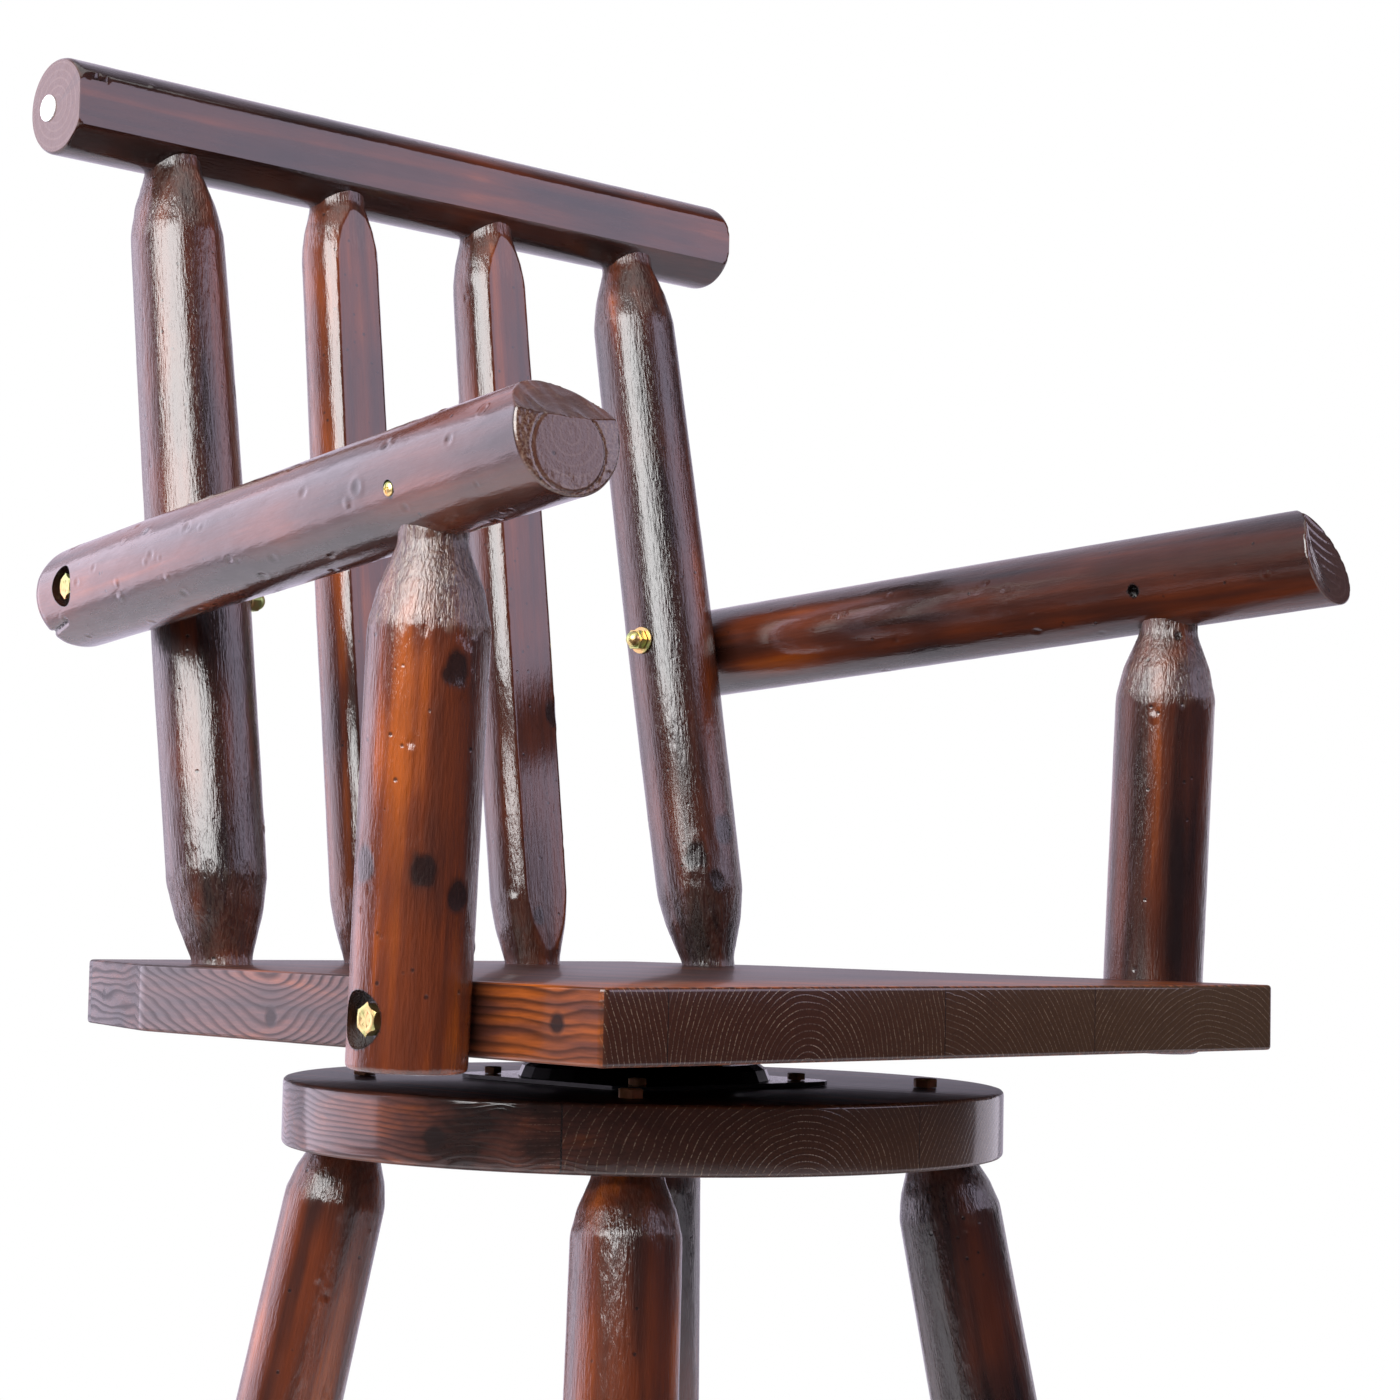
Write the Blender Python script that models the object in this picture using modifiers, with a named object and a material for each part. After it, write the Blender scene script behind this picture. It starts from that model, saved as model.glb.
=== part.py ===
# Wooden bar stool: a swivelling log armchair seat on a round-topped log base.
# Metres, +Z up, the floor at zero, the front towards -Y, the swivel axis on Z.
import math

import bmesh
import bpy
from mathutils import Matrix, Vector

# Overall sizes
seat_height = 0.730
half_depth = 0.290
fit_gap = 0.0003
cut_overrun = 0.020

# Seat board
seat_front_width = 0.556
seat_side_taper = 0.012
seat_depth = 0.544
seat_thickness = 0.040
corner_cut_width = 0.035
corner_cut_length = 0.115
seat_edge_radius = 0.004

# Base disc and the space that the swivel fills
disc_radius = 0.222
disc_thickness = 0.040
disc_edge_radius = 0.003
disc_sides = 48
swivel_height = 0.0275

# Logs: all are hewn to a round tenon at each jointed end
log_sides = 16
seat_socket_depth = 0.030
rail_socket_depth = 0.034
arm_socket_depth = 0.042
disc_socket_depth = 0.030
leg_socket_depth = 0.024
# Rounds of moving an arm until it meets both of its posts
settling_passes = 6
# How a hewn taper climbs from the neck to the shoulder: along, outward
shoulder_shares = ((0.0, 0.0), (0.55, 0.68), (1.0, 1.0))

# Top rail
rail_radius = 0.031
rail_half_length = 0.283
rail_height = 0.537
rail_front_flat = 0.0262
rail_lower_flat = 0.0288
rail_lower_flat_angle = math.radians(50)
rail_end_rounding = 0.007
rail_saw_chamfer = 0.002
plug_radius = 0.0085
plug_length = 0.020
plug_stand_out = 0.0008
plug_back_offset = 0.010

# Outer and inner back posts: feet on the seat, tops aimed at the rail's centre line
outer_foot_x = 0.206
outer_foot_setback = 0.112
outer_top_x = 0.1975
outer_neck_radius = 0.0185
outer_top_radius = 0.0285
outer_foot_radius = 0.0298
outer_swell = 0.0022
outer_foot_taper = 0.052
outer_top_taper = 0.042
inner_foot_x = 0.068
inner_foot_setback = 0.083
inner_top_x = 0.065
inner_neck_radius = 0.0190
inner_top_radius = 0.0250
inner_foot_radius = 0.0262
inner_swell = 0.0010
inner_foot_taper = 0.042
inner_top_taper = 0.030
inner_front_flat = 0.0195

# Arms: bolted outside the outer posts, rising towards the front and passing over the arm posts
arm_bolt_height = 0.229
arm_rise = math.radians(4.85)
arm_rear_radius = 0.0315
arm_front_radius = 0.0318
arm_swell = 0.0004
arm_rear_overhang = 0.045
arm_rear_rounding = 0.012
arm_bevel_length = 0.003
arm_face_radius = 0.0270
arm_top_cut_height = 0.0185
arm_top_cut_angle = math.radians(25)

# Arm posts: bolted against the sides of the seat board
arm_post_setback = 0.1175
arm_post_lean = math.radians(2.4)
arm_post_radius = 0.0320
arm_post_top_radius = 0.0325
arm_post_neck_radius = 0.0190
arm_post_taper = 0.044
arm_post_drop = 0.0065
arm_post_end_rounding = 0.003

# Legs and rungs
leg_circle_radius = 0.183
leg_splay = math.radians(11.2)
leg_neck_radius = 0.0210
leg_top_radius = 0.0310
leg_foot_radius = 0.0338
leg_swell = 0.0010
leg_taper = 0.036
rung_radius = 0.0205
rung_swell = 0.0015
rung_neck_radius = 0.0130
rung_taper = 0.026
front_rung_height = 0.250
side_rung_height = 0.310

# Hex bolts, lag screws, washers and nuts
m8_radius = 0.0040
m8_across_flats = 0.0130
m8_head_height = 0.0053
m6_radius = 0.0030
m6_across_flats = 0.0100
m6_head_height = 0.0040
head_chamfer = 0.0006
leg_bolt_circle_radius = 0.174
leg_bolt_length = 0.070
swivel_bolt_length = 0.035
lag_across_flats = 0.0145
lag_head_height = 0.0060
post_bolt_seat_bite = 0.045
washer_thickness = 0.0016
post_pocket_radius = 0.0152
post_pocket_depth = 0.0105
arm_pocket_radius = 0.0120
arm_pocket_depth = 0.0110
nut_washer_radius = 0.0095
nut_hex_height = 0.0065
nut_dome_radius = 0.0060
nut_thread_depth = 0.0080
nut_end_clearance = 0.0010
arm_screw_head_radius = 0.0040
arm_screw_head_height = 0.0022
arm_screw_radius = 0.0022
arm_screw_length = 0.045
right_screw_recess = 0.0060
right_screw_setback = 0.0085
arm_screw_drop = 0.0085
fastener_sides = 10
ring_sides = 16

# Swivel: two pressed plates with a ball track between them, held by a rivet
plate_thickness = 0.0025
plate_sides = 26
lower_plate_corner = 0.020
lower_bolt_spacing = 0.133
lower_bolt_edge = 0.0195
lower_pan_foot_radius = 0.0775
lower_pan_top_radius = 0.0735
upper_plate_corner = 0.018
upper_screw_spacing = 0.118
upper_screw_edge = 0.0160
upper_pan_foot_radius = 0.0640
upper_pan_top_radius = 0.0600
pan_bend = 0.0030
track_radius = 0.0480
ball_radius = 0.0040
ball_count = 14
track_steps = 4
ball_plane_height = 0.0138
ball_running_gap = 0.0006
plate_spacing = 0.0022
flange_overlap = 0.0006
cage_thickness = 0.0010
cage_width = 0.0110
rivet_radius = 0.0060
rivet_head_radius = 0.0105
rivet_head_height = 0.0028
rivet_running_gap = 0.0004
seat_screw_radius = 0.0022
seat_screw_head_radius = 0.0045
seat_screw_head_height = 0.0028
seat_screw_length = 0.028
screw_crown_share = 0.7
screw_tip_share = 0.5
screw_point_length = 0.0044

# Colours are linear RGB
stained_fir = (0.080, 0.026, 0.014)
black_paint = (0.012, 0.012, 0.013)
yellow_zinc = (0.540, 0.440, 0.190)
white_filler = (0.780, 0.790, 0.800)

up = Vector((0, 0, 1))
down = -up
seat_underside = seat_height - seat_thickness
disc_top = seat_underside - swivel_height
disc_underside = disc_top - disc_thickness
rail_y = half_depth - rail_radius
rail_z = seat_height + rail_height
arm_post_y = arm_post_setback - seat_depth / 2
outer_foot_y = seat_depth / 2 - outer_foot_setback
inner_foot_y = seat_depth / 2 - inner_foot_setback
seat_side_angle = math.atan(seat_side_taper / (seat_depth - corner_cut_length))
sides = {"left": -1, "right": 1}
ends = {"front": -1, "back": 1}


def clear_scene():
    for old in list(bpy.data.objects):
        bpy.data.objects.remove(old, do_unlink=True)


def collection(name):
    made = bpy.data.collections.new(name)
    bpy.context.scene.collection.children.link(made)
    return made


def material(name, colour, roughness, metallic=0.0):
    made = bpy.data.materials.new(name)
    made.use_nodes = True
    shader = made.node_tree.nodes["Principled BSDF"]
    shader.inputs["Base Color"].default_value = (*colour, 1)
    shader.inputs["Roughness"].default_value = roughness
    shader.inputs["Metallic"].default_value = metallic
    return made


def empty(name, parent=None):
    made = bpy.data.objects.new(name, None)
    parts.objects.link(made)
    made.parent = parent
    return made


def add_mesh(name, mesh, look, parent):
    """A part of the stool, shaded smooth but for its corners."""
    mesh.shade_smooth()
    mesh.set_sharp_from_angle(angle=math.radians(35))
    mesh.materials.clear()
    mesh.materials.append(look)
    made = bpy.data.objects.new(name, mesh)
    parts.objects.link(made)
    made.parent = parent
    return made


def add_tool(name, mesh):
    """A helper that cuts or joins and isn't rendered."""
    made = bpy.data.objects.new(name, mesh)
    cutters.objects.link(made)
    made.hide_render = True
    made.display_type = "WIRE"
    return made


def boolean(target, tool, operation="DIFFERENCE"):
    modifier = target.modifiers.new(tool.name, "BOOLEAN")
    modifier.operation = operation
    modifier.object = tool


def mesh_from(bm, name):
    mesh = bpy.data.meshes.new(name)
    bm.to_mesh(mesh)
    bm.free()
    return mesh


def aim(target, origin, direction):
    """Puts an object's origin at a point and its Z along a direction."""
    target.location = origin
    target.rotation_mode = "QUATERNION"
    target.rotation_quaternion = Vector(direction).to_track_quat("Z", "Y")


def cylinder_mesh(name, radius, length, side_count):
    """A cylinder from z = 0 up to its length."""
    bm = bmesh.new()
    bmesh.ops.create_cone(
        bm, cap_ends=True, segments=side_count, radius1=radius, radius2=radius, depth=length
    )
    bmesh.ops.translate(bm, verts=bm.verts, vec=up * length / 2)
    return mesh_from(bm, name)


def bore(target, label, mouth, direction, radius, depth, side_count=fastener_sides):
    """A round hole that takes a shaft of this radius, drilled from its mouth along a direction."""
    direction = Vector(direction).normalized()
    wall = (radius + fit_gap) / math.cos(math.pi / side_count)
    mesh = cylinder_mesh(label, wall, depth + cut_overrun, side_count)
    cutter = add_tool(f"{target.name}_{label}_cutter", mesh)
    aim(cutter, Vector(mouth) - direction * cut_overrun, direction)
    boolean(target, cutter)


def plane_cut(target, label, point, outward, reach):
    """Saws off all that lies outward of a plane."""
    bm = bmesh.new()
    bmesh.ops.create_cube(bm, size=2 * reach)
    bmesh.ops.translate(bm, verts=bm.verts, vec=up * reach)
    cutter = add_tool(f"{target.name}_{label}_cutter", mesh_from(bm, label))
    aim(cutter, point, outward)
    boolean(target, cutter)


def outline_mesh(name, points, thickness, holes=()):
    """A flat sheet from z = 0 up, with its outline in X and Y and round holes (x, y, radius, sides)."""
    curve = bpy.data.curves.new(name, "CURVE")
    curve.dimensions = "2D"
    curve.fill_mode = "BOTH"
    curve.extrude = thickness / 2
    loops = [points]
    for x, y, radius, side_count in holes:
        angles = [2 * math.pi * step / side_count for step in range(side_count)]
        loops.append([(x + radius * math.cos(a), y + radius * math.sin(a)) for a in angles])
    for loop in loops:
        spline = curve.splines.new("POLY")
        spline.points.add(len(loop) - 1)
        for point, (x, y) in zip(spline.points, loop):
            point.co = (x, y, 0, 1)
        spline.use_cyclic_u = True
    mesh = curve_to_mesh(name, curve)
    mesh.transform(Matrix.Translation(up * thickness / 2))
    return mesh


def curve_to_mesh(name, curve):
    """The closed mesh of a curve, with its caps welded."""
    guide = bpy.data.objects.new(name, curve)
    cutters.objects.link(guide)
    graph = bpy.context.evaluated_depsgraph_get()
    mesh = bpy.data.meshes.new_from_object(guide.evaluated_get(graph))
    bpy.data.objects.remove(guide, do_unlink=True)
    bpy.data.curves.remove(curve)
    bm = bmesh.new()
    bm.from_mesh(mesh)
    bmesh.ops.remove_doubles(bm, verts=bm.verts, dist=fit_gap / 10)
    bmesh.ops.recalc_face_normals(bm, faces=bm.faces)
    bm.to_mesh(mesh)
    bm.free()
    return mesh


def turned(name, profile, side_count, look, parent, origin=(0, 0, 0)):
    """A ring or knob from a closed or axis-to-axis profile of (radius, height), turned about Z."""
    closed = profile[0] == profile[-1]
    rows = profile[:-1] if closed else profile
    bm = bmesh.new()
    verts = [bm.verts.new((radius, 0, height)) for radius, height in rows]
    for first, second in zip(verts, verts[1:] + (verts[:1] if closed else [])):
        bm.edges.new((first, second))
    made = add_mesh(name, mesh_from(bm, name), look, parent)
    screw = made.modifiers.new("Turn", "SCREW")
    screw.steps = side_count
    screw.render_steps = side_count
    screw.use_merge_vertices = True
    screw.merge_threshold = fit_gap / 10
    made.location = origin
    return made


class Log:
    """A hewn log: where it runs, how thick it is along its length and how its two ends are cut."""

    def __init__(self, start, end, start_radius, end_radius, swell=0.0):
        self.start = Vector(start)
        self.end = Vector(end)
        self.length = (self.end - self.start).length
        self.direction = (self.end - self.start).normalized()
        self.start_radius = start_radius
        self.end_radius = end_radius
        self.swell = swell
        self.start_rows = []
        self.end_rows = []

    def radius_at(self, distance):
        share = distance / self.length
        straight = self.start_radius + (self.end_radius - self.start_radius) * share
        return straight + self.swell * math.sin(math.pi * share)

    def point_at(self, distance):
        return self.start + self.direction * distance

    def nearest(self, point):
        """How far along the log the point nearest to another lies."""
        return (Vector(point) - self.start).dot(self.direction)


def tenon(radius, depth, taper, shoulder_radius, tilt=0.0):
    """Rows of (distance from the end, radius): a tenon, its neck clear of a tilted face, a hewn taper."""
    neck = depth + radius * math.tan(tilt) + fit_gap
    rows = [(0, radius)]
    for along, outward in shoulder_shares:
        rows.append((neck + (depth + taper - neck) * along, radius + (shoulder_radius - radius) * outward))
    return rows


def rounded(radius, rounding, steps=3):
    """Rows for a sawn end with a round edge."""
    rows = []
    for step in range(steps + 1):
        angle = math.pi / 2 * step / steps
        rows.append((rounding * (1 - math.cos(angle)), radius - rounding * (1 - math.sin(angle))))
    return rows


def bevelled(radius, face_radius, length):
    """Rows for an end hewn back to a smaller round face."""
    return [(0, face_radius), (length, radius)]


def log_object(name, log, body_rows, look, parent):
    """The log as a round tube of changing radius, with the body in even stations."""
    first = log.start_rows[-1][0]
    last = log.length - log.end_rows[-1][0]
    rows = list(log.start_rows)
    for step in range(1, body_rows):
        distance = first + (last - first) * step / body_rows
        rows.append((distance, log.radius_at(distance)))
    rows += [(log.length - distance, radius) for distance, radius in reversed(log.end_rows)]
    curve = bpy.data.curves.new(name, "CURVE")
    curve.dimensions = "3D"
    curve.bevel_depth = log.start_radius
    curve.bevel_resolution = log_sides // 2 - 2
    curve.use_fill_caps = True
    spline = curve.splines.new("POLY")
    spline.points.add(len(rows) - 1)
    for point, (distance, radius) in zip(spline.points, rows):
        point.co = (*(log.direction * distance), 1)
        point.radius = radius / log.start_radius
    made = add_mesh(name, curve_to_mesh(name, curve), look, parent)
    made.location = log.start
    return made


def socket(target, label, log, tenon_radius, depth, at_start=True):
    """The hole that a log's tenon seats in."""
    inward = -log.direction if at_start else log.direction
    tip = log.start if at_start else log.end
    mouth = tip - inward * depth
    bore(target, label, mouth, inward, tenon_radius, depth + fit_gap, log_sides)


def hex_fastener(name, seat_point, direction, sizes, length, look, parent):
    """A hex-headed bolt: its head stands on the seat point and its shank runs along the direction."""
    radius, across_flats, head_height = sizes
    corner = across_flats / math.sqrt(3)
    bm = bmesh.new()
    made_rings = bmesh.ops.create_cone(
        bm, cap_ends=True, segments=6, radius1=corner, radius2=corner, depth=head_height
    )
    bmesh.ops.translate(bm, verts=made_rings["verts"], vec=down * head_height / 2)
    rim = [edge for edge in bm.edges if all(abs(v.co.z + head_height) < fit_gap for v in edge.verts)]
    bmesh.ops.bevel(bm, geom=rim, offset=head_chamfer, segments=1, affect="EDGES", profile=0.5)
    head = add_mesh(name, mesh_from(bm, name), look, parent)
    shank = add_tool(f"{name}_shank", cylinder_mesh(name, radius, length + head_height / 2, fastener_sides))
    direction = Vector(direction).normalized()
    start = Vector(seat_point) - direction * fit_gap
    aim(head, start, direction)
    aim(shank, start - direction * head_height / 2, direction)
    boolean(head, shank, "UNION")


def washer(name, seat_point, outward, radius, hole_radius, look, parent):
    """A flat ring that stands on its seat point, outward."""
    inner = hole_radius + fit_gap
    profile = [
        (inner, 0),
        (inner, washer_thickness),
        (radius, washer_thickness),
        (radius, 0),
        (inner, 0),
    ]
    made = turned(name, profile, ring_sides, look, parent)
    aim(made, Vector(seat_point) + Vector(outward) * fit_gap, outward)


def seat_outline():
    front = seat_front_width / 2
    back = front - seat_side_taper
    half = [
        (front, -seat_depth / 2),
        (back, seat_depth / 2 - corner_cut_length),
        (back - corner_cut_width, seat_depth / 2),
    ]
    return half + [(-x, y) for x, y in reversed(half)]


def square_outline(side, corner, steps=4):
    """A square with round corners."""
    points = []
    inner = side / 2 - corner
    for quarter in range(4):
        middle = math.pi / 4 + quarter * math.pi / 2
        centre_x = inner * math.copysign(1, math.cos(middle))
        centre_y = inner * math.copysign(1, math.sin(middle))
        for step in range(steps + 1):
            angle = (quarter + step / steps) * math.pi / 2
            points.append((centre_x + corner * math.cos(angle), centre_y + corner * math.sin(angle)))
    return points


def square_places(spacing):
    """The four points of a square hole pattern, by name."""
    return {
        f"{end}_{side}": (x * spacing / 2, y * spacing / 2)
        for end, y in ends.items()
        for side, x in sides.items()
    }


def seat_side_x(y):
    """Half the seat's width at a distance behind the axis, in front of the corner cuts."""
    straight = seat_depth - corner_cut_length
    return seat_front_width / 2 - seat_side_taper * (y + seat_depth / 2) / straight


def post_log(side, foot_x, foot_y, top_x, sizes):
    """A back post, from its seat tenon to its rail tenon."""
    neck, foot_radius, top_radius, swell, foot_taper, top_taper = sizes
    foot = Vector((side * foot_x, foot_y, seat_height))
    top = Vector((side * top_x, rail_y, rail_z))
    direction = (top - foot).normalized()
    start = foot - direction * seat_socket_depth
    end = top + direction * (rail_socket_depth - rail_radius)
    log = Log(start, end, foot_radius, top_radius, swell)
    recline = math.acos(direction.z)
    foot_shoulder = log.radius_at(seat_socket_depth + foot_taper)
    log.start_rows = tenon(neck, seat_socket_depth, foot_taper, foot_shoulder, recline)
    top_shoulder = log.radius_at(log.length - rail_socket_depth - top_taper)
    log.end_rows = tenon(neck, rail_socket_depth, top_taper, top_shoulder, abs(direction.x))
    return log


def arm_post_line(side):
    """Where an arm post, tangent to the seat's side, passes the seat's top, and its direction."""
    beside_seat = (arm_post_radius + fit_gap) / math.cos(seat_side_angle)
    place = Vector((side * (seat_side_x(arm_post_y) + beside_seat), arm_post_y, seat_height))
    return place, Vector((0, -math.sin(arm_post_lean), math.cos(arm_post_lean)))


def arm_log(side, post):
    """An arm that lies against its post where the bolt crosses both, and the bolt's line."""
    foot, lean = arm_post_line(side)
    over_support = foot + lean * arm_bolt_height
    climb = (seat_height + arm_bolt_height - post.start.z) / post.direction.z
    crossing = post.point_at(climb)
    outward = Vector((side, 0, 0))
    arm_radius = arm_rear_radius
    for _ in range(settling_passes):
        centre = crossing + outward * (post.radius_at(climb) + arm_radius + fit_gap)
        level = over_support - centre
        level.z = 0
        forward = level.normalized() * math.cos(arm_rise) + up * math.sin(arm_rise)
        start = centre - forward * arm_rear_overhang
        front_spread = arm_face_radius * math.sqrt(1 - forward.y ** 2)
        reach = (-half_depth + front_spread - start.y) / forward.y
        arm = Log(start, start + forward * reach, arm_rear_radius, arm_front_radius, arm_swell)
        arm_radius = arm.radius_at(arm_rear_overhang)
        outward = forward.cross(post.direction).normalized()
        outward *= math.copysign(1, outward.x * side)
    arm.start_rows = rounded(arm.radius_at(arm_rear_rounding), arm_rear_rounding)
    arm.end_rows = bevelled(arm.radius_at(arm.length - arm_bevel_length), arm_face_radius, arm_bevel_length)
    return arm, crossing, outward


def arm_post_log(side, arm):
    """An arm post, from below the seat board up to its tenon in the arm."""
    foot, direction = arm_post_line(side)
    start = foot - direction * (seat_thickness + arm_post_drop) / direction.z
    arm_centre = arm.point_at(arm.nearest(foot + direction * arm_bolt_height))
    arm_radius = arm.radius_at(arm.nearest(arm_centre))
    mouth = start + direction * (arm_centre.z - arm_radius - start.z) / direction.z
    end = mouth + direction * arm_socket_depth
    log = Log(start, end, arm_post_radius, arm_post_top_radius)
    log.start_rows = rounded(log.radius_at(arm_post_end_rounding), arm_post_end_rounding)
    shoulder = log.radius_at(log.length - arm_socket_depth - arm_post_taper)
    tilt = arm_rise + arm_post_lean
    log.end_rows = tenon(arm_post_neck_radius, arm_socket_depth, arm_post_taper, shoulder, tilt)
    return log


def leg_log(x_side, y_side):
    """A leg along a diagonal of the disc, long enough to be sawn off at the floor."""
    outward = Vector((x_side, y_side, 0)).normalized()
    direction = outward * math.sin(leg_splay) - up * math.cos(leg_splay)
    at_disc = outward * leg_circle_radius + up * disc_underside
    start = at_disc - direction * disc_socket_depth
    past_floor = leg_foot_radius * math.tan(leg_splay) + cut_overrun
    end = at_disc + direction * (disc_underside / math.cos(leg_splay) + past_floor)
    log = Log(start, end, leg_top_radius, leg_foot_radius, leg_swell)
    shoulder = log.radius_at(disc_socket_depth + leg_taper)
    log.start_rows = tenon(leg_neck_radius, disc_socket_depth, leg_taper, shoulder, leg_splay)
    log.end_rows = [(0, leg_foot_radius)]
    return log


def rung_log(first_leg, second_leg, height):
    """A level rung between two legs, with a tenon in each."""
    points = [leg.point_at((height - leg.start.z) / leg.direction.z) for leg in (first_leg, second_leg)]
    direction = (points[1] - points[0]).normalized()
    lean = abs(direction.dot(first_leg.direction))
    tilt = math.asin(lean)
    leg_radius = first_leg.radius_at(first_leg.nearest(points[0]))
    inset = direction * (leg_radius / math.cos(tilt) - leg_socket_depth)
    log = Log(points[0] + inset, points[1] - inset, rung_radius, rung_radius, rung_swell)
    shoulder = log.radius_at(leg_socket_depth + rung_taper)
    log.start_rows = tenon(rung_neck_radius, leg_socket_depth, rung_taper, shoulder, tilt)
    log.end_rows = log.start_rows
    return log


def make_seat_board():
    board = add_mesh(
        "seat_board", outline_mesh("seat_board", seat_outline(), seat_thickness), looks["wood"], seat
    )
    board.location = up * seat_underside
    edge = board.modifiers.new("Edges", "BEVEL")
    edge.width = seat_edge_radius
    edge.segments = 2
    edge.limit_method = "ANGLE"
    return board


def make_base_disc():
    disc = add_mesh(
        "base_disc",
        cylinder_mesh("base_disc", disc_radius, disc_thickness, disc_sides),
        looks["wood"],
        base,
    )
    disc.location = up * disc_underside
    edge = disc.modifiers.new("Edges", "BEVEL")
    edge.width = disc_edge_radius
    edge.segments = 2
    edge.limit_method = "ANGLE"
    return disc


def make_rail():
    middle = Vector((0, rail_y, rail_z))
    half = Vector((rail_half_length, 0, 0))
    log = Log(middle - half, middle + half, rail_radius, rail_radius)
    log.start_rows = rounded(rail_radius, rail_saw_chamfer, 1)
    log.end_rows = rounded(rail_radius, rail_end_rounding)
    rail = log_object("top_rail", log, 1, looks["wood"], seat)
    front = Vector((0, -1, 0))
    lower = front * math.cos(rail_lower_flat_angle) + down * math.sin(rail_lower_flat_angle)
    plane_cut(rail, "front_flat", middle + front * rail_front_flat, front, 2 * rail_half_length)
    plane_cut(rail, "lower_flat", middle + lower * rail_lower_flat, lower, 2 * rail_half_length)
    plug_mouth = log.start - front * plug_back_offset
    bore(rail, "plug", plug_mouth, log.direction, plug_radius, plug_length, log_sides)
    plug = add_mesh(
        "rail_end_plug",
        cylinder_mesh("rail_end_plug", plug_radius, plug_length + plug_stand_out, log_sides),
        looks["filler"],
        seat,
    )
    aim(plug, plug_mouth - log.direction * plug_stand_out, log.direction)
    return rail


def make_back_posts(board, rail):
    """Four reclined posts between the seat board and the rail. Returns the two outer ones."""
    outer_sizes = (
        outer_neck_radius,
        outer_foot_radius,
        outer_top_radius,
        outer_swell,
        outer_foot_taper,
        outer_top_taper,
    )
    inner_sizes = (
        inner_neck_radius,
        inner_foot_radius,
        inner_top_radius,
        inner_swell,
        inner_foot_taper,
        inner_top_taper,
    )
    outer = {}
    for side_name, side in sides.items():
        for row, x, y, top_x, sizes in (
            ("outer", outer_foot_x, outer_foot_y, outer_top_x, outer_sizes),
            ("inner", inner_foot_x, inner_foot_y, inner_top_x, inner_sizes),
        ):
            log = post_log(side, x, y, top_x, sizes)
            post = log_object(f"back_post_{side_name}_{row}", log, 3, looks["wood"], seat)
            socket(board, post.name, log, sizes[0], seat_socket_depth)
            socket(rail, post.name, log, sizes[0], rail_socket_depth, at_start=False)
            if row == "outer":
                outer[side_name] = (post, log)
            else:
                front = -(Vector((0, 1, 0)) - log.direction * log.direction.y).normalized()
                plane_cut(post, "front_flat", log.start + front * inner_front_flat, front, log.length)
    return outer


def make_arm(side_name, side, board, post, post_axis):
    """An arm, its post and the fasteners that hold both."""
    arm_axis, crossing, outward = arm_log(side, post_axis)
    arm = log_object(f"arm_{side_name}", arm_axis, 3, looks["wood"], seat)
    forward = arm_axis.direction
    upward = (up - forward * forward.dot(up)).normalized()
    facing = upward * math.cos(arm_top_cut_angle) + forward * math.sin(arm_top_cut_angle)
    plane_cut(arm, "top_cut", arm_axis.end + upward * arm_top_cut_height, facing, 2 * arm_front_radius)
    support_axis = arm_post_log(side, arm_axis)
    support = log_object(f"arm_post_{side_name}", support_axis, 1, looks["wood"], seat)
    socket(arm, "post_socket", support_axis, arm_post_neck_radius, arm_socket_depth, at_start=False)
    fasten_arm_to_post(side_name, arm, arm_axis, post, post_axis, crossing, outward)
    fasten_support_to_seat(side_name, side, support, support_axis, board)
    fasten_arm_to_support(side_name, arm, arm_axis, support, support_axis)


def fasten_arm_to_post(side_name, arm, arm_axis, post, post_axis, crossing, outward):
    """A bolt through the arm and the post, with its head in a pocket and a cap nut inside."""
    arm_radius = arm_axis.radius_at(arm_rear_overhang)
    post_radius = post_axis.radius_at(post_axis.nearest(crossing))
    arm_centre = crossing + outward * (post_radius + fit_gap + arm_radius)
    surface = arm_centre + outward * arm_radius
    seat_point = surface - outward * arm_pocket_depth
    nut_seat = crossing - outward * (post_radius + 2 * fit_gap + washer_thickness)
    length = (seat_point - nut_seat).length + nut_thread_depth - nut_end_clearance
    bolt_sizes = (m8_radius, m8_across_flats, m8_head_height)
    bore(arm, "bolt_pocket", surface, -outward, arm_pocket_radius, arm_pocket_depth, log_sides)
    bore(arm, "bolt_hole", surface, -outward, m8_radius, 2 * arm_radius + cut_overrun)
    post_surface = crossing + outward * post_radius
    bore(post, "bolt_hole", post_surface, -outward, m8_radius, 2 * post_radius + cut_overrun)
    hex_fastener(f"arm_bolt_{side_name}", seat_point, -outward, bolt_sizes, length, looks["zinc"], seat)
    washer(
        f"arm_bolt_washer_{side_name}",
        crossing - outward * post_radius,
        -outward,
        nut_washer_radius,
        m8_radius,
        looks["zinc"],
        seat,
    )
    make_cap_nut(f"arm_cap_nut_{side_name}", nut_seat, -outward)


def make_cap_nut(name, seat_point, outward):
    """A hex nut with a dome over the end of its bolt."""
    corner = m8_across_flats / math.sqrt(3)
    nut = add_mesh(name, cylinder_mesh(name, corner, nut_hex_height, 6), looks["zinc"], seat)
    bm = bmesh.new()
    bmesh.ops.create_uvsphere(bm, u_segments=fastener_sides, v_segments=8, radius=nut_dome_radius)
    dome = add_tool(f"{name}_dome", mesh_from(bm, name))
    origin = Vector(seat_point) + outward * fit_gap
    aim(nut, origin, outward)
    aim(dome, origin + outward * nut_hex_height, outward)
    boolean(nut, dome, "UNION")
    bore(nut, "thread", origin, outward, m8_radius, nut_thread_depth)


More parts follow.
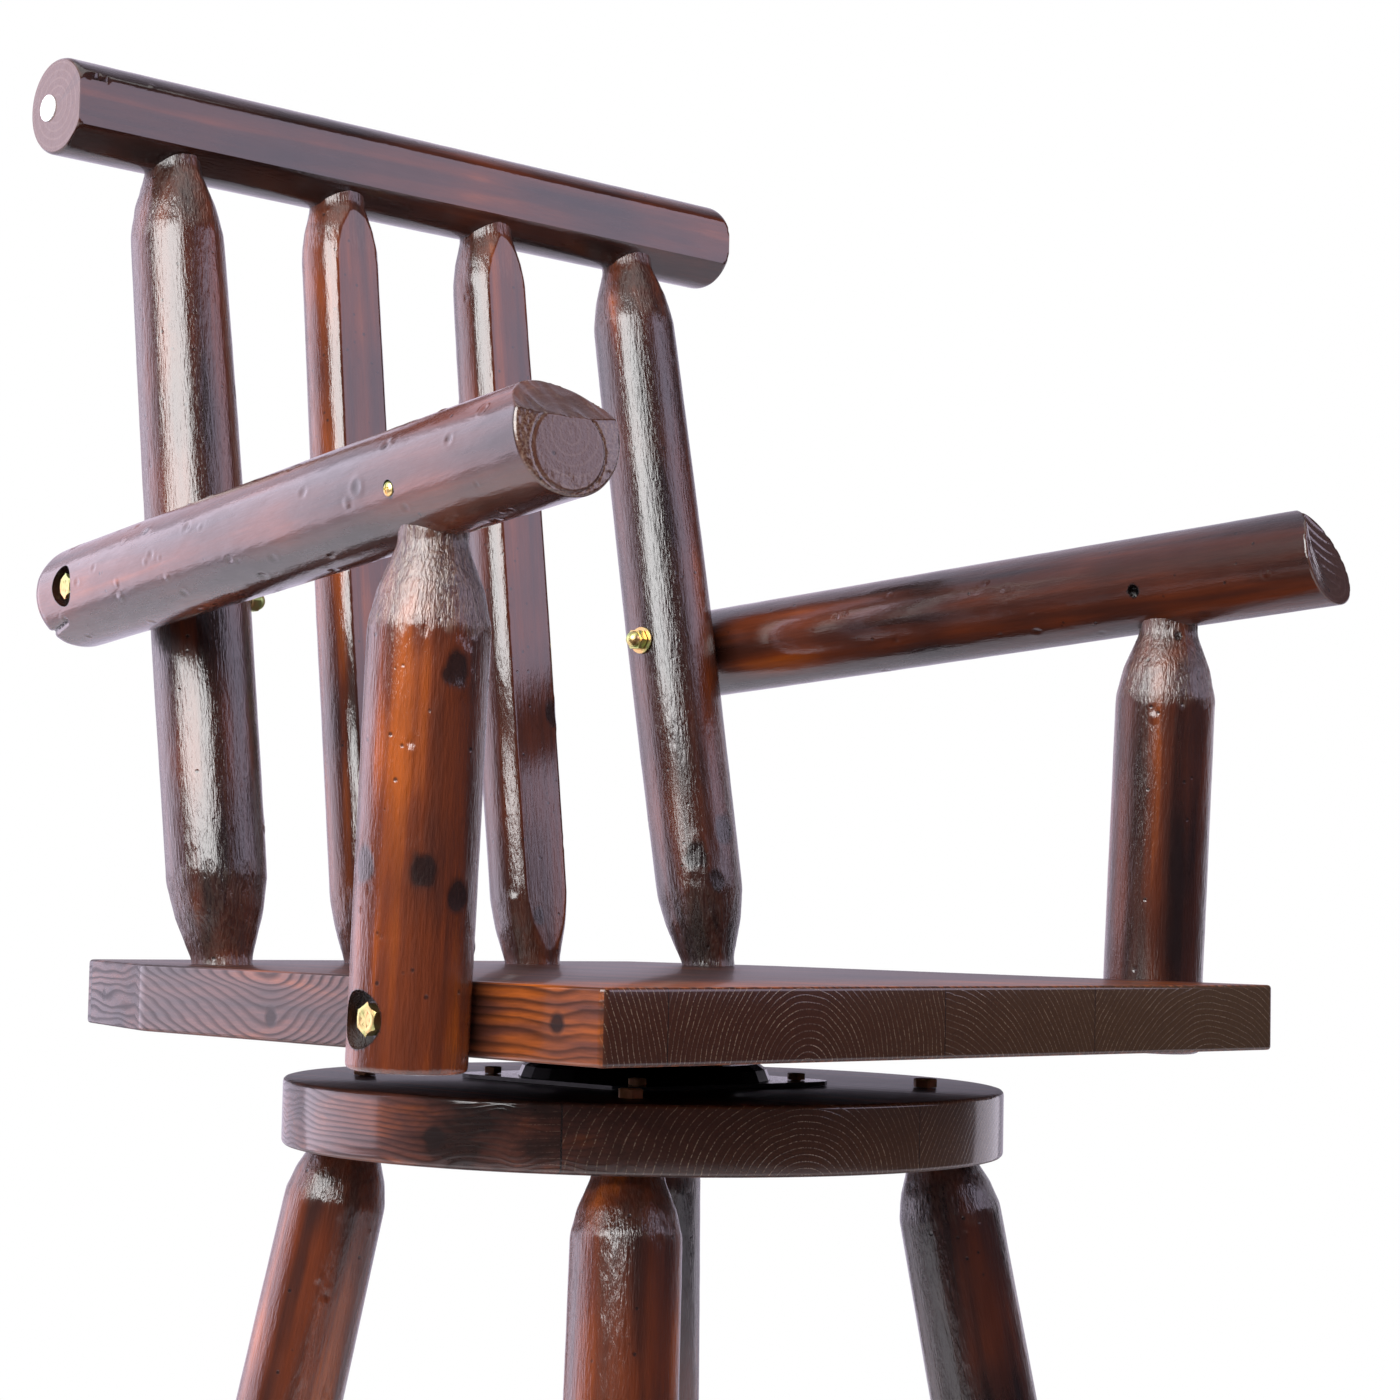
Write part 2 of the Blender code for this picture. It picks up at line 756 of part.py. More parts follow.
def fasten_support_to_seat(side_name, side, support, support_axis, board):
    """A lag screw from a pocket in the arm post into the edge of the seat board."""
    outward = Vector((side * math.cos(seat_side_angle), math.sin(seat_side_angle), 0))
    climb = (seat_height - seat_thickness / 2 - support_axis.start.z) / support_axis.direction.z
    centre = support_axis.point_at(climb)
    radius = support_axis.radius_at(climb)
    surface = centre + outward * radius
    floor = surface - outward * post_pocket_depth
    length = (floor - centre).length + radius + post_bolt_seat_bite
    bore(support, "screw_pocket", surface, -outward, post_pocket_radius, post_pocket_depth, log_sides)
    bore(support, "screw_hole", surface, -outward, m8_radius, 2 * radius + cut_overrun)
    seat_face = centre - outward * radius
    bore(board, f"screw_hole_{side_name}", seat_face, -outward, m8_radius, post_bolt_seat_bite)
    lag_sizes = (m8_radius, lag_across_flats, lag_head_height)
    hex_fastener(f"arm_post_screw_{side_name}", floor, -outward, lag_sizes, length, looks["zinc"], seat)


def round_screw(name, seat_point, direction, sizes, look, parent):
    """A round-headed wood screw, its head on the seat point and its shank along the direction."""
    head_radius, head_height, radius, length = sizes
    profile = [
        (0, length),
        (radius * screw_tip_share, length),
        (radius, length - screw_point_length),
        (radius, 0),
        (head_radius, 0),
        (head_radius, -head_height / 2),
        (head_radius * screw_crown_share, -head_height),
        (0, -head_height),
    ]
    screw = turned(name, profile, fastener_sides, look, parent)
    aim(screw, seat_point, direction)


def fasten_arm_to_support(side_name, arm, arm_axis, support, support_axis):
    """A screw through the side of the arm into the tenon of its post. Both are driven from the left."""
    on_right = side_name == "right"
    along = arm_axis.nearest(support_axis.end) - on_right * right_screw_setback
    centre = arm_axis.point_at(along) + down * arm_screw_drop
    direction = Vector((1, 0, 0))
    direction -= arm_axis.direction * direction.dot(arm_axis.direction)
    direction.normalize()
    surface = centre - direction * arm_axis.radius_at(along)
    depth = on_right * right_screw_recess + arm_screw_head_height
    seat_point = surface + direction * depth
    sizes = (arm_screw_head_radius, arm_screw_head_height, arm_screw_radius, arm_screw_length)
    bore(arm, "screw_pocket", surface, direction, arm_screw_head_radius, depth + fit_gap)
    bore(arm, "screw_hole", surface, direction, arm_screw_radius, depth + arm_screw_length)
    bore(support, "tenon_screw_hole", surface, direction, arm_screw_radius, depth + arm_screw_length)
    look = looks["zinc"] if side_name == "left" else looks["steel"]
    round_screw(f"arm_screw_{side_name}", seat_point, direction, sizes, look, seat)


def make_legs(disc):
    """Four splayed legs, bolted down through the disc. Returns each leg and its axis."""
    legs = {}
    for end_name, y_side in ends.items():
        for side_name, x_side in sides.items():
            log = leg_log(x_side, y_side)
            leg = log_object(f"leg_{end_name}_{side_name}", log, 3, looks["wood"], base)
            plane_cut(leg, "floor", Vector((log.end.x, log.end.y, 0)), down, disc_radius)
            socket(disc, leg.name, log, leg_neck_radius, disc_socket_depth)
            bolt_place = Vector((x_side, y_side, 0)).normalized() * leg_bolt_circle_radius + up * disc_top
            sizes = (m8_radius, m8_across_flats, m8_head_height)
            bolt_name = f"leg_bolt_{end_name}_{side_name}"
            hex_fastener(bolt_name, bolt_place, down, sizes, leg_bolt_length, looks["zinc"], base)
            bore(disc, bolt_name, bolt_place, down, m8_radius, leg_bolt_length)
            bore(leg, "bolt_hole", bolt_place, down, m8_radius, leg_bolt_length)
            legs[end_name, side_name] = (leg, log)
    return legs


def make_rungs(legs):
    """A level rung on each side, the side ones higher so that their tenons clear the others."""
    plan = {
        "front": (("front", "left"), ("front", "right"), front_rung_height),
        "back": (("back", "left"), ("back", "right"), front_rung_height),
        "left": (("front", "left"), ("back", "left"), side_rung_height),
        "right": (("front", "right"), ("back", "right"), side_rung_height),
    }
    for name, (first, second, height) in plan.items():
        log = rung_log(legs[first][1], legs[second][1], height)
        log_object(f"rung_{name}", log, 2, looks["wood"], base)
        socket(legs[first][0], f"{name}_rung", log, rung_neck_radius, leg_socket_depth)
        socket(legs[second][0], f"{name}_rung", log, rung_neck_radius, leg_socket_depth, at_start=False)


def sheet_profile(path):
    """The closed outline of a bent sheet from the points of its middle surface, inside to outside."""
    upper = []
    lower = []
    for index, (radius, height) in enumerate(path):
        before = path[max(index - 1, 0)]
        after = path[min(index + 1, len(path) - 1)]
        run = Vector((after[0] - before[0], after[1] - before[1])).normalized()
        normal = Vector((-run.y, run.x)) * plate_thickness / 2
        upper.append((radius + normal.x, height + normal.y))
        lower.append((radius - normal.x, height - normal.y))
    return upper + lower[::-1] + upper[:1]


def pan_path(level, hump, hole_radius, top_radius, foot_radius, foot_height):
    """Middle surface of a pressed pan: centre hole, ball track, bend and wall. Hump is 1 or -1."""
    arc_radius = ball_radius + ball_running_gap + plate_thickness / 2
    half_angle = math.acos(abs(level - ball_plane_height) / arc_radius)
    facet_radius = arc_radius / math.cos(half_angle / track_steps)
    points = [(hole_radius, level)]
    for step in range(track_steps + 1):
        angle = half_angle * (2 * step / track_steps - 1)
        on_ends = step in (0, track_steps)
        reach = arc_radius if on_ends else facet_radius
        radius = track_radius + reach * math.sin(angle)
        points.append((radius, ball_plane_height + hump * reach * math.cos(angle)))
    rise = math.copysign(pan_bend, foot_height - level)
    points.append((top_radius - pan_bend, level))
    points.append((top_radius + (foot_radius - top_radius) * abs(rise / (foot_height - level)), level + rise))
    points.append((foot_radius, foot_height))
    return points


def make_plate(name, side, corner, spacing, screw_radius, level, hump, sizes, parent):
    """A square pressed plate: a drilled flange with a round pan pressed out of it."""
    hole_radius, top_radius, foot_radius, foot_height = sizes
    path = pan_path(level, hump, hole_radius, top_radius, foot_radius, foot_height)
    pan = turned(f"{name}_pan", sheet_profile(path), plate_sides, looks["steel"], parent)
    parts.objects.unlink(pan)
    cutters.objects.link(pan)
    pan.hide_render = True
    pan.display_type = "WIRE"
    pan.location = up * disc_top
    holes = [(0, 0, foot_radius - flange_overlap, plate_sides)]
    for x, y in square_places(spacing).values():
        holes.append((x, y, screw_radius + fit_gap, fastener_sides))
    mesh = outline_mesh(name, square_outline(side, corner), plate_thickness, holes)
    plate = add_mesh(name, mesh, looks["steel"], parent)
    plate.location = up * (disc_top + foot_height - plate_thickness / 2)
    boolean(plate, pan, "UNION")


def make_swivel(disc, board):
    """Two pressed plates on a ring of balls, with the screws that hold them."""
    half_sheet = plate_thickness / 2
    lower_level = ball_plane_height - plate_spacing / 2 - half_sheet
    upper_level = ball_plane_height + plate_spacing / 2 + half_sheet
    lower_sizes = (
        rivet_radius + fit_gap,
        lower_pan_top_radius,
        lower_pan_foot_radius,
        fit_gap + half_sheet,
    )
    upper_sizes = (
        rivet_radius + rivet_running_gap,
        upper_pan_top_radius,
        upper_pan_foot_radius,
        swivel_height - fit_gap - half_sheet,
    )
    make_plate(
        "swivel_lower_plate",
        lower_bolt_spacing + 2 * lower_bolt_edge,
        lower_plate_corner,
        lower_bolt_spacing,
        m6_radius,
        lower_level,
        -1,
        lower_sizes,
        base,
    )
    make_plate(
        "swivel_upper_plate",
        upper_screw_spacing + 2 * upper_screw_edge,
        upper_plate_corner,
        upper_screw_spacing,
        seat_screw_radius,
        upper_level,
        1,
        upper_sizes,
        seat,
    )
    make_ball_cage()
    make_rivet(lower_level - half_sheet, upper_level + half_sheet)
    plate_top = up * (disc_top + fit_gap + plate_thickness)
    for name, (x, y) in square_places(lower_bolt_spacing).items():
        place = Vector((x, y, 0)) + plate_top
        sizes = (m6_radius, m6_across_flats, m6_head_height)
        hex_fastener(f"swivel_bolt_{name}", place, down, sizes, swivel_bolt_length, looks["zinc"], base)
        bore(disc, f"swivel_bolt_{name}", Vector((x, y, disc_top)), down, m6_radius, swivel_bolt_length)
    flange_underside = up * (seat_underside - 2 * fit_gap - plate_thickness)
    for name, (x, y) in square_places(upper_screw_spacing).items():
        sizes = (seat_screw_head_radius, seat_screw_head_height, seat_screw_radius, seat_screw_length)
        place = Vector((x, y, 0)) + flange_underside
        round_screw(f"seat_screw_{name}", place, up, sizes, looks["steel"], seat)
        mouth = Vector((x, y, seat_underside))
        bore(board, f"seat_screw_{name}", mouth, up, seat_screw_radius, seat_screw_length)


def make_ball_cage():
    """A flat ring that holds the balls of the swivel."""
    inner = track_radius - cage_width / 2
    outer = track_radius + cage_width / 2
    profile = [
        (inner, -cage_thickness / 2),
        (inner, cage_thickness / 2),
        (outer, cage_thickness / 2),
        (outer, -cage_thickness / 2),
        (inner, -cage_thickness / 2),
    ]
    middle = up * (disc_top + ball_plane_height)
    cage = turned("ball_cage", profile, plate_sides, looks["steel"], base, middle)
    bm = bmesh.new()
    for number in range(ball_count):
        angle = 2 * math.pi * number / ball_count
        ball = bmesh.ops.create_uvsphere(bm, u_segments=8, v_segments=4, radius=ball_radius)
        place = Vector((math.cos(angle), math.sin(angle), 0)) * track_radius
        bmesh.ops.translate(bm, verts=ball["verts"], vec=place)
    balls = add_tool("ball_cage_balls", mesh_from(bm, "balls"))
    balls.location = cage.location
    boolean(cage, balls, "UNION")


def make_rivet(underside, topside):
    """The rivet that the seat turns on, from below the lower pan to above the upper one."""
    foot = underside - fit_gap
    head = topside + rivet_running_gap
    profile = [
        (0, head + rivet_head_height),
        (rivet_head_radius - rivet_head_height / 2, head + rivet_head_height),
        (rivet_head_radius, head + rivet_head_height / 2),
        (rivet_head_radius, head),
        (rivet_radius, head),
        (rivet_radius, foot),
        (rivet_head_radius, foot),
        (rivet_head_radius, foot - rivet_head_height),
        (0, foot - rivet_head_height),
    ]
    turned("swivel_rivet", profile, ring_sides, looks["steel"], base, up * disc_top)


clear_scene()
parts = collection("bar_stool")
cutters = collection("cutters")
looks = {
    "wood": material("stained_fir", stained_fir, 0.32),
    "steel": material("black_paint", black_paint, 0.40),
    "zinc": material("yellow_zinc", yellow_zinc, 0.30, 1.0),
    "filler": material("white_filler", white_filler, 0.55),
}
base = empty("base")
seat = empty("seat_swivel", base)

seat_board = make_seat_board()
base_disc = make_base_disc()
top_rail = make_rail()
outer_posts = make_back_posts(seat_board, top_rail)
for arm_name, arm_side in sides.items():
    make_arm(arm_name, arm_side, seat_board, *outer_posts[arm_name])
make_rungs(make_legs(base_disc))
make_swivel(base_disc, seat_board)
print("bar stool:", len(parts.objects), "objects")
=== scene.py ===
import math

import bmesh
import bpy
import numpy as np
from mathutils import Matrix, Vector


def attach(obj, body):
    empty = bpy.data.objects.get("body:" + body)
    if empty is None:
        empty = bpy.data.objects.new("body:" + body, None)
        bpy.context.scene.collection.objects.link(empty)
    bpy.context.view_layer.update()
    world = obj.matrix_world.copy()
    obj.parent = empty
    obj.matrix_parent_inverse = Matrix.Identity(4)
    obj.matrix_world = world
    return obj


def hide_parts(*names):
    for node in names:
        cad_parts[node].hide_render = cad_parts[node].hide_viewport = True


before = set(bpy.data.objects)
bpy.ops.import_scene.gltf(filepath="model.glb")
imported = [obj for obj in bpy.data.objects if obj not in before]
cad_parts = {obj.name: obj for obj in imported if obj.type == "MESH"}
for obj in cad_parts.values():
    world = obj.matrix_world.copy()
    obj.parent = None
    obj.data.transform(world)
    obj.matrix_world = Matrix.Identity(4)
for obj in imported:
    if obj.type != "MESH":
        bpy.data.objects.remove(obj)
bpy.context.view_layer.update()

# A rustic bar stool of peeled fir logs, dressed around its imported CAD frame.
# Metres, +Z up, floor at zero, the front towards -Y, the seat turns about Z.

sideSigns = {"left": -1, "right": 1}
endSigns = {"front": -1, "back": 1}
toCamera = Vector((-0.68, -0.73, 0))


# Small tools that every piece uses

# sRGB hex to the linear colour that Blender's sockets want
def linear(hexColour):
    channels = [int(hexColour[i:i + 2], 16) / 255 for i in (1, 3, 5)]
    return tuple(c / 12.92 if c <= 0.04045 else ((c + 0.055) / 1.055) ** 2.4 for c in channels) + (1,)


# Adds a node: settings by name, inputs by socket name or number
def addNode(tree, kind, inputs=None, **settings):
    node = tree.nodes.new(kind)
    for name, value in settings.items():
        setattr(node, name, value)
    for socket, value in (inputs or {}).items():
        if isinstance(value, bpy.types.NodeSocket):
            tree.links.new(value, node.inputs[socket])
        else:
            node.inputs[socket].default_value = value
    return node


def calculate(tree, operation, *values):
    return addNode(tree, "ShaderNodeMath", dict(enumerate(values)), operation=operation).outputs[0]


def multiply(tree, first, second):
    return calculate(tree, "MULTIPLY", first, second)


def vectorMath(tree, operation, *values):
    made = addNode(tree, "ShaderNodeVectorMath", dict(enumerate(values)), operation=operation)
    return made.outputs["Value" if operation in ("LENGTH", "DISTANCE", "DOT_PRODUCT") else "Vector"]


# The limits are from low, from high, to low, to high
def remap(tree, value, *limits):
    return addNode(tree, "ShaderNodeMapRange", dict(enumerate((value,) + limits))).outputs[0]


def mixValues(tree, share, first, second):
    return addNode(tree, "ShaderNodeMix", {0: share, 2: first, 3: second}).outputs[0]


def asColour(colour):
    return linear(colour) if isinstance(colour, str) else colour


# The share may be a value times an amount
def mixColours(tree, share, first, second, blend="MIX", amount=None):
    if amount:
        share = multiply(tree, share, amount)
    inputs = {0: share, 6: asColour(first), 7: asColour(second)}
    return addNode(tree, "ShaderNodeMix", inputs, data_type="RGBA", blend_type=blend).outputs[2]


def ramp(tree, value, stops):
    node = addNode(tree, "ShaderNodeValToRGB", {0: value})
    elements = node.color_ramp.elements
    for number, (position, colour) in enumerate(stops):
        element = elements[number] if number < len(elements) else elements.new(position)
        element.position = position
        element.color = linear(colour) if isinstance(colour, str) else (colour, colour, colour, 1)
    return node.outputs[0]


def splitVector(tree, vector):
    return addNode(tree, "ShaderNodeSeparateXYZ", {0: vector}).outputs


def noise(tree, vector, scale, detail=2, roughness=0.5, distortion=0.0):
    inputs = {"Vector": vector, "Scale": scale, "Detail": detail, "Roughness": roughness}
    inputs["Distortion"] = distortion
    return addNode(tree, "ShaderNodeTexNoise", inputs).outputs["Fac"]


# Links the shader's normals to a relief; strengths are by socket name
def addBumps(tree, shader, relief, distance, strengths):
    for socket, strength in strengths.items():
        inputs = {"Strength": strength, "Distance": distance, "Height": relief}
        tree.links.new(addNode(tree, "ShaderNodeBump", inputs).outputs[0], shader.inputs[socket])


def newMaterial(name):
    material = bpy.data.materials.new(name)
    material.use_nodes = True
    return material, material.node_tree, material.node_tree.nodes["Principled BSDF"]


def setInputs(shader, values):
    for socket, value in values.items():
        shader.inputs[socket].default_value = value


# Smooth random values from -1 to 1 at many points, with cells of the given size
def softNoise(points, size, seed):
    table = np.random.RandomState(seed).uniform(-1, 1, (32, 32, 32))
    cell = points / np.array(size)
    low = np.floor(cell).astype(int)
    part = cell - low
    part = part * part * (3 - 2 * part)
    total = np.zeros(len(points))
    for corner in ((x, y, z) for x in (0, 1) for y in (0, 1) for z in (0, 1)):
        share = np.prod(np.where(corner, part, 1 - part), axis=1)
        at = (low + corner) % 32
        total += share * table[at[:, 0], at[:, 1], at[:, 2]]
    return total


def smoothStep(low, high, value):
    share = np.clip((value - low) / (high - low), 0, 1)
    return share * share * (3 - 2 * share)


# Turns Z along a direction, with X as near as it can be to the facing direction
def placing(origin, direction, facing=toCamera):
    zAxis = Vector(direction).normalized()
    xAxis = Vector(facing) - zAxis * zAxis.dot(Vector(facing))
    xAxis.normalize()
    yAxis = zAxis.cross(xAxis)
    matrix = Matrix((xAxis, yAxis, zAxis)).transposed().to_4x4()
    matrix.translation = Vector(origin)
    return matrix


# Moves a place or direction to another side or end of the stool
def mirrored(point, signs):
    return (signs[0] * point[0], signs[1] * point[1], point[2])


def addObject(name, data):
    made = bpy.data.objects.new(name, data)
    bpy.context.scene.collection.objects.link(made)
    return made


# Turns a bmesh into a mesh and frees it
def meshFrom(name, bm, material=None):
    mesh = bpy.data.meshes.new(name)
    bm.to_mesh(mesh)
    bm.free()
    if material:
        mesh.materials.append(material)
    return mesh


def addPiece(name, bm, material, body, replaced, sharp=38):
    bmesh.ops.recalc_face_normals(bm, faces=bm.faces)
    mesh = meshFrom(name, bm, material)
    mesh.shade_smooth()
    mesh.set_sharp_from_angle(angle=math.radians(sharp))
    piece = addObject(name, mesh)
    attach(piece, body)
    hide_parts(*replaced)
    return piece


# Peeled fir, Douglas or Chinese: scorched, stained and varnished.
# The eye sees long streaks from near black to orange under a thick glossy coat.
logFinish = {
    "stain": [(0.34, "#190b09"), (0.46, "#3a1a10"), (0.57, "#59260f"), (0.71, "#9a4a10")],
    "ringDark": "#190b09",
    "knot": "#140b0a",
    "sawn": "#45291f",
    "ringLine": "#665046",
    "fibreDark": "#3a1a10",
    "paleFibreAndSheen": "#8a7466",
    "streakWidth": 0.017,
    "fineStreak": 0.0015,
    "blotchScale": 9,
    "blotchShare": 0.4,
    "ringSpacing": 0.0034,
    "ringPush": 0.009,
    "endRingSpacing": 0.0052,
    "endRingPush": 0.012,
    "lengthwise": (1, 1, 0.06),
    "fibreLengthwise": (1, 1, 0.16),
    "skinLengthwise": (1, 1, 0.28),
    "skinScale": 190,
    "fleckScale": 95,
    "bumpDistance": 0.0009,
    "baseBump": 0.55,
    "coatBump": 0.34,
}


def stainedFir():
    finish = logFinish
    material, tree, shader = newMaterial("stainedFir")
    outputs = {"grain": "Vector", "marks": "Vector", "logNumber": "Fac", "peel": "Fac", "warmth": "Fac"}
    grain, marks, number, peel, warmth = (
        addNode(tree, "ShaderNodeAttribute", attribute_name=name).outputs[output]
        for name, output in outputs.items()
    )
    hewn, knot, sawn = splitVector(tree, marks)
    shift = addNode(tree, "ShaderNodeCombineXYZ", {2: number}).outputs[0]
    along = vectorMath(tree, "MULTIPLY_ADD", grain, finish["lengthwise"], shift)
    drawn = vectorMath(tree, "MULTIPLY", grain, finish["fibreLengthwise"])
    placed = vectorMath(tree, "ADD", grain, shift)
    broad = noise(tree, along, 1 / finish["streakWidth"], 3, 0.42, 0.3)
    fine = noise(tree, along, 1 / finish["fineStreak"], 2, 0.6)
    fibre = noise(tree, drawn, 1 / finish["fineStreak"], 3, 0.6)
    blotch = noise(tree, placed, finish["blotchScale"])

    # Year rings: distance from the pith, pushed about a little by the noise
    reach = vectorMath(tree, "LENGTH", vectorMath(tree, "MULTIPLY", grain, (1, 1, 0)))

    def rings(push, amount, spacing, thinness):
        pushed = calculate(tree, "MULTIPLY_ADD", push, amount, reach)
        turns = multiply(tree, pushed, 2 * math.pi / spacing)
        return remap(tree, calculate(tree, "SINE", turns), thinness, 1.0)

    ringShare = rings(broad, finish["ringPush"], finish["ringSpacing"], 0.1)
    endRing = rings(blotch, finish["endRingPush"], finish["endRingSpacing"], 0.55)

    # Stain: near black in the hard streaks, orange where it soaked in least
    mood = calculate(tree, "MULTIPLY_ADD", broad, 1 - finish["blotchShare"], warmth)
    mood = calculate(tree, "MULTIPLY_ADD", blotch, finish["blotchShare"], mood)
    wood = ramp(tree, mood, finish["stain"])
    fineShade = remap(tree, fine, 0.3, 0.7, 0.86, 1.12)
    shaded = mixColours(tree, 0.8, wood, fineShade, "MULTIPLY")
    shaded = mixColours(tree, ringShare, shaded, finish["ringDark"], amount=0.2)
    endWood = mixColours(tree, endRing, finish["sawn"], finish["ringLine"], amount=0.3)
    endWood = mixColours(tree, 0.3, endWood, fineShade, "MULTIPLY")
    shaded = mixColours(tree, sawn, shaded, endWood)
    # Ragged fibres on the hewn ends, from dark to pale; the pale share is partly painted highlight, the
    # varnish's sheen on the upturned necks
    torn = remap(tree, fibre, 0.42, 0.62)
    fibreAndSheenWood = mixColours(tree, torn, finish["fibreDark"], finish["paleFibreAndSheen"])
    shaded = mixColours(tree, hewn, shaded, fibreAndSheenWood, amount=0.6)
    shaded = mixColours(tree, knot, shaded, finish["knot"], amount=0.9)

    # Peeled skin: low waves, fine fibres and round flecks, with the varnish lying smoother over them
    drawnSkin = vectorMath(tree, "MULTIPLY", placed, finish["skinLengthwise"])
    waves = noise(tree, drawnSkin, finish["skinScale"], 3, 0.55)
    cells = addNode(tree, "ShaderNodeTexVoronoi", {"Vector": placed, "Scale": finish["fleckScale"]}).outputs
    chosen = calculate(tree, "GREATER_THAN", splitVector(tree, cells["Color"])[0], 0.66)
    fleck = multiply(tree, remap(tree, cells["Distance"], 0.15, 0.07), chosen)
    relief = calculate(tree, "MULTIPLY_ADD", fleck, -0.3, calculate(tree, "ADD", fibre, waves))
    shaded = mixColours(tree, fleck, shaded, finish["knot"], amount=0.75)
    tree.links.new(shaded, shader.inputs["Base Color"])
    addBumps(tree, shader, relief, finish["bumpDistance"], {
        "Normal": multiply(tree, peel, finish["baseBump"]),
        "Coat Normal": multiply(tree, peel, finish["coatBump"]),
    })
    tree.links.new(remap(tree, waves, 0.3, 0.7, 0.34, 0.5), shader.inputs["Roughness"])
    setInputs(shader, {
        "IOR": 1.5, "Specular IOR Level": 0.12,
        "Coat Weight": 1.0, "Coat Roughness": 0.11, "Coat IOR": 1.65,
    })
    return material


# Glued fir boards, planed, scorched so that the summer wood stands out, stained and varnished.
# Long faces show wavy lines, end grain shows arcs of year rings.
boardFinish = {
    "stain": [(0.28, "#24130e"), (0.5, "#4f2c22"), (0.82, "#93480c")],
    "line": "#1b0f0c",
    "lineStops": [(0.0, 1.0), (0.17, 0.06), (0.53, 0.03), (0.9, 1.0)],
    "endWood": "#361b10",
    "endOlive": "#4a3521",
    "endLineAndHighlight": "#a08a74",
    "ridgeStops": [(0.42, 0.0), (0.5, 1.0), (0.52, 1.0), (0.6, 0.0)],
    "knot": "#1c1210",
    "ringSpacing": 0.0036,
    "topSpacing": 0.0085,
    "glueLine": 0.00035,
    "lengthwise": (1, 0.1, 1),
    "swayLengthwise": (1, 0.55, 1),
    "swayNoises": ((12, 0), (60, 1)),
    "noises": ((26, 1), (75, 1), (60, 3, 0.6), (800,)),
    "speckle": (900, 1),
    "endSways": (0.005, 0.0018),
    "sideSways": (0.024, 0.016),
    "topSways": (0.06, 0.012),
    "bumpDistance": 0.0004,
    "bump": 0.5,
    "coatBump": 0.1,
}

# Joints are the X of the glue lines; each board between them has its own pith, given as X and Z.
# Knots are X, Y, Z, a radius, how far the lines dip behind and before them, and how steeply.
# The glow is where along Y the colour turns warmer: from, to and how much. On the seat this is partly
# painted light: the fronts of its sides, where the arm posts keep the lamps' sheen off, are painted warmer
# than the rear.
seatBoards = {
    "joints": (-0.234, -0.025, 0.1045),
    "piths": ((-0.4, -0.045), (-0.133, -0.026), (-0.035, -0.075), (0.216, -0.075)),
    "middleZ": 0.71,
    "knots": (
        (-0.2745, -0.236, 0.711, 0.0062, 0.03, 0.02, 0.1),
        (-0.269, 0.019, 0.703, 0.0068, 0.15, 0.1, 0.4),
        (-0.242, 0.234, 0.709, 0.0045, 0.02, 0.02, 0.1),
    ),
    "glow": (-0.14, -0.2, 0.29),
    "warmth": -0.1,
    "sideSpacing": 0.0052,
    "lineDepth": 1.0,
}
discBoards = {
    "joints": (-0.18, 0.0105),
    "piths": ((-0.19, 0.16), (-0.07, -0.03), (0.15, -0.08)),
    "middleZ": 0.6425,
    "knots": ((-0.2138, -0.0602, 0.64, 0.0068, 0.04, 0.04, 0.12),),
    "glow": (-0.068, -0.045, 0.13),
    "warmth": -0.13,
    "sideSpacing": 0.0034,
    "lineDepth": 0.62,
}


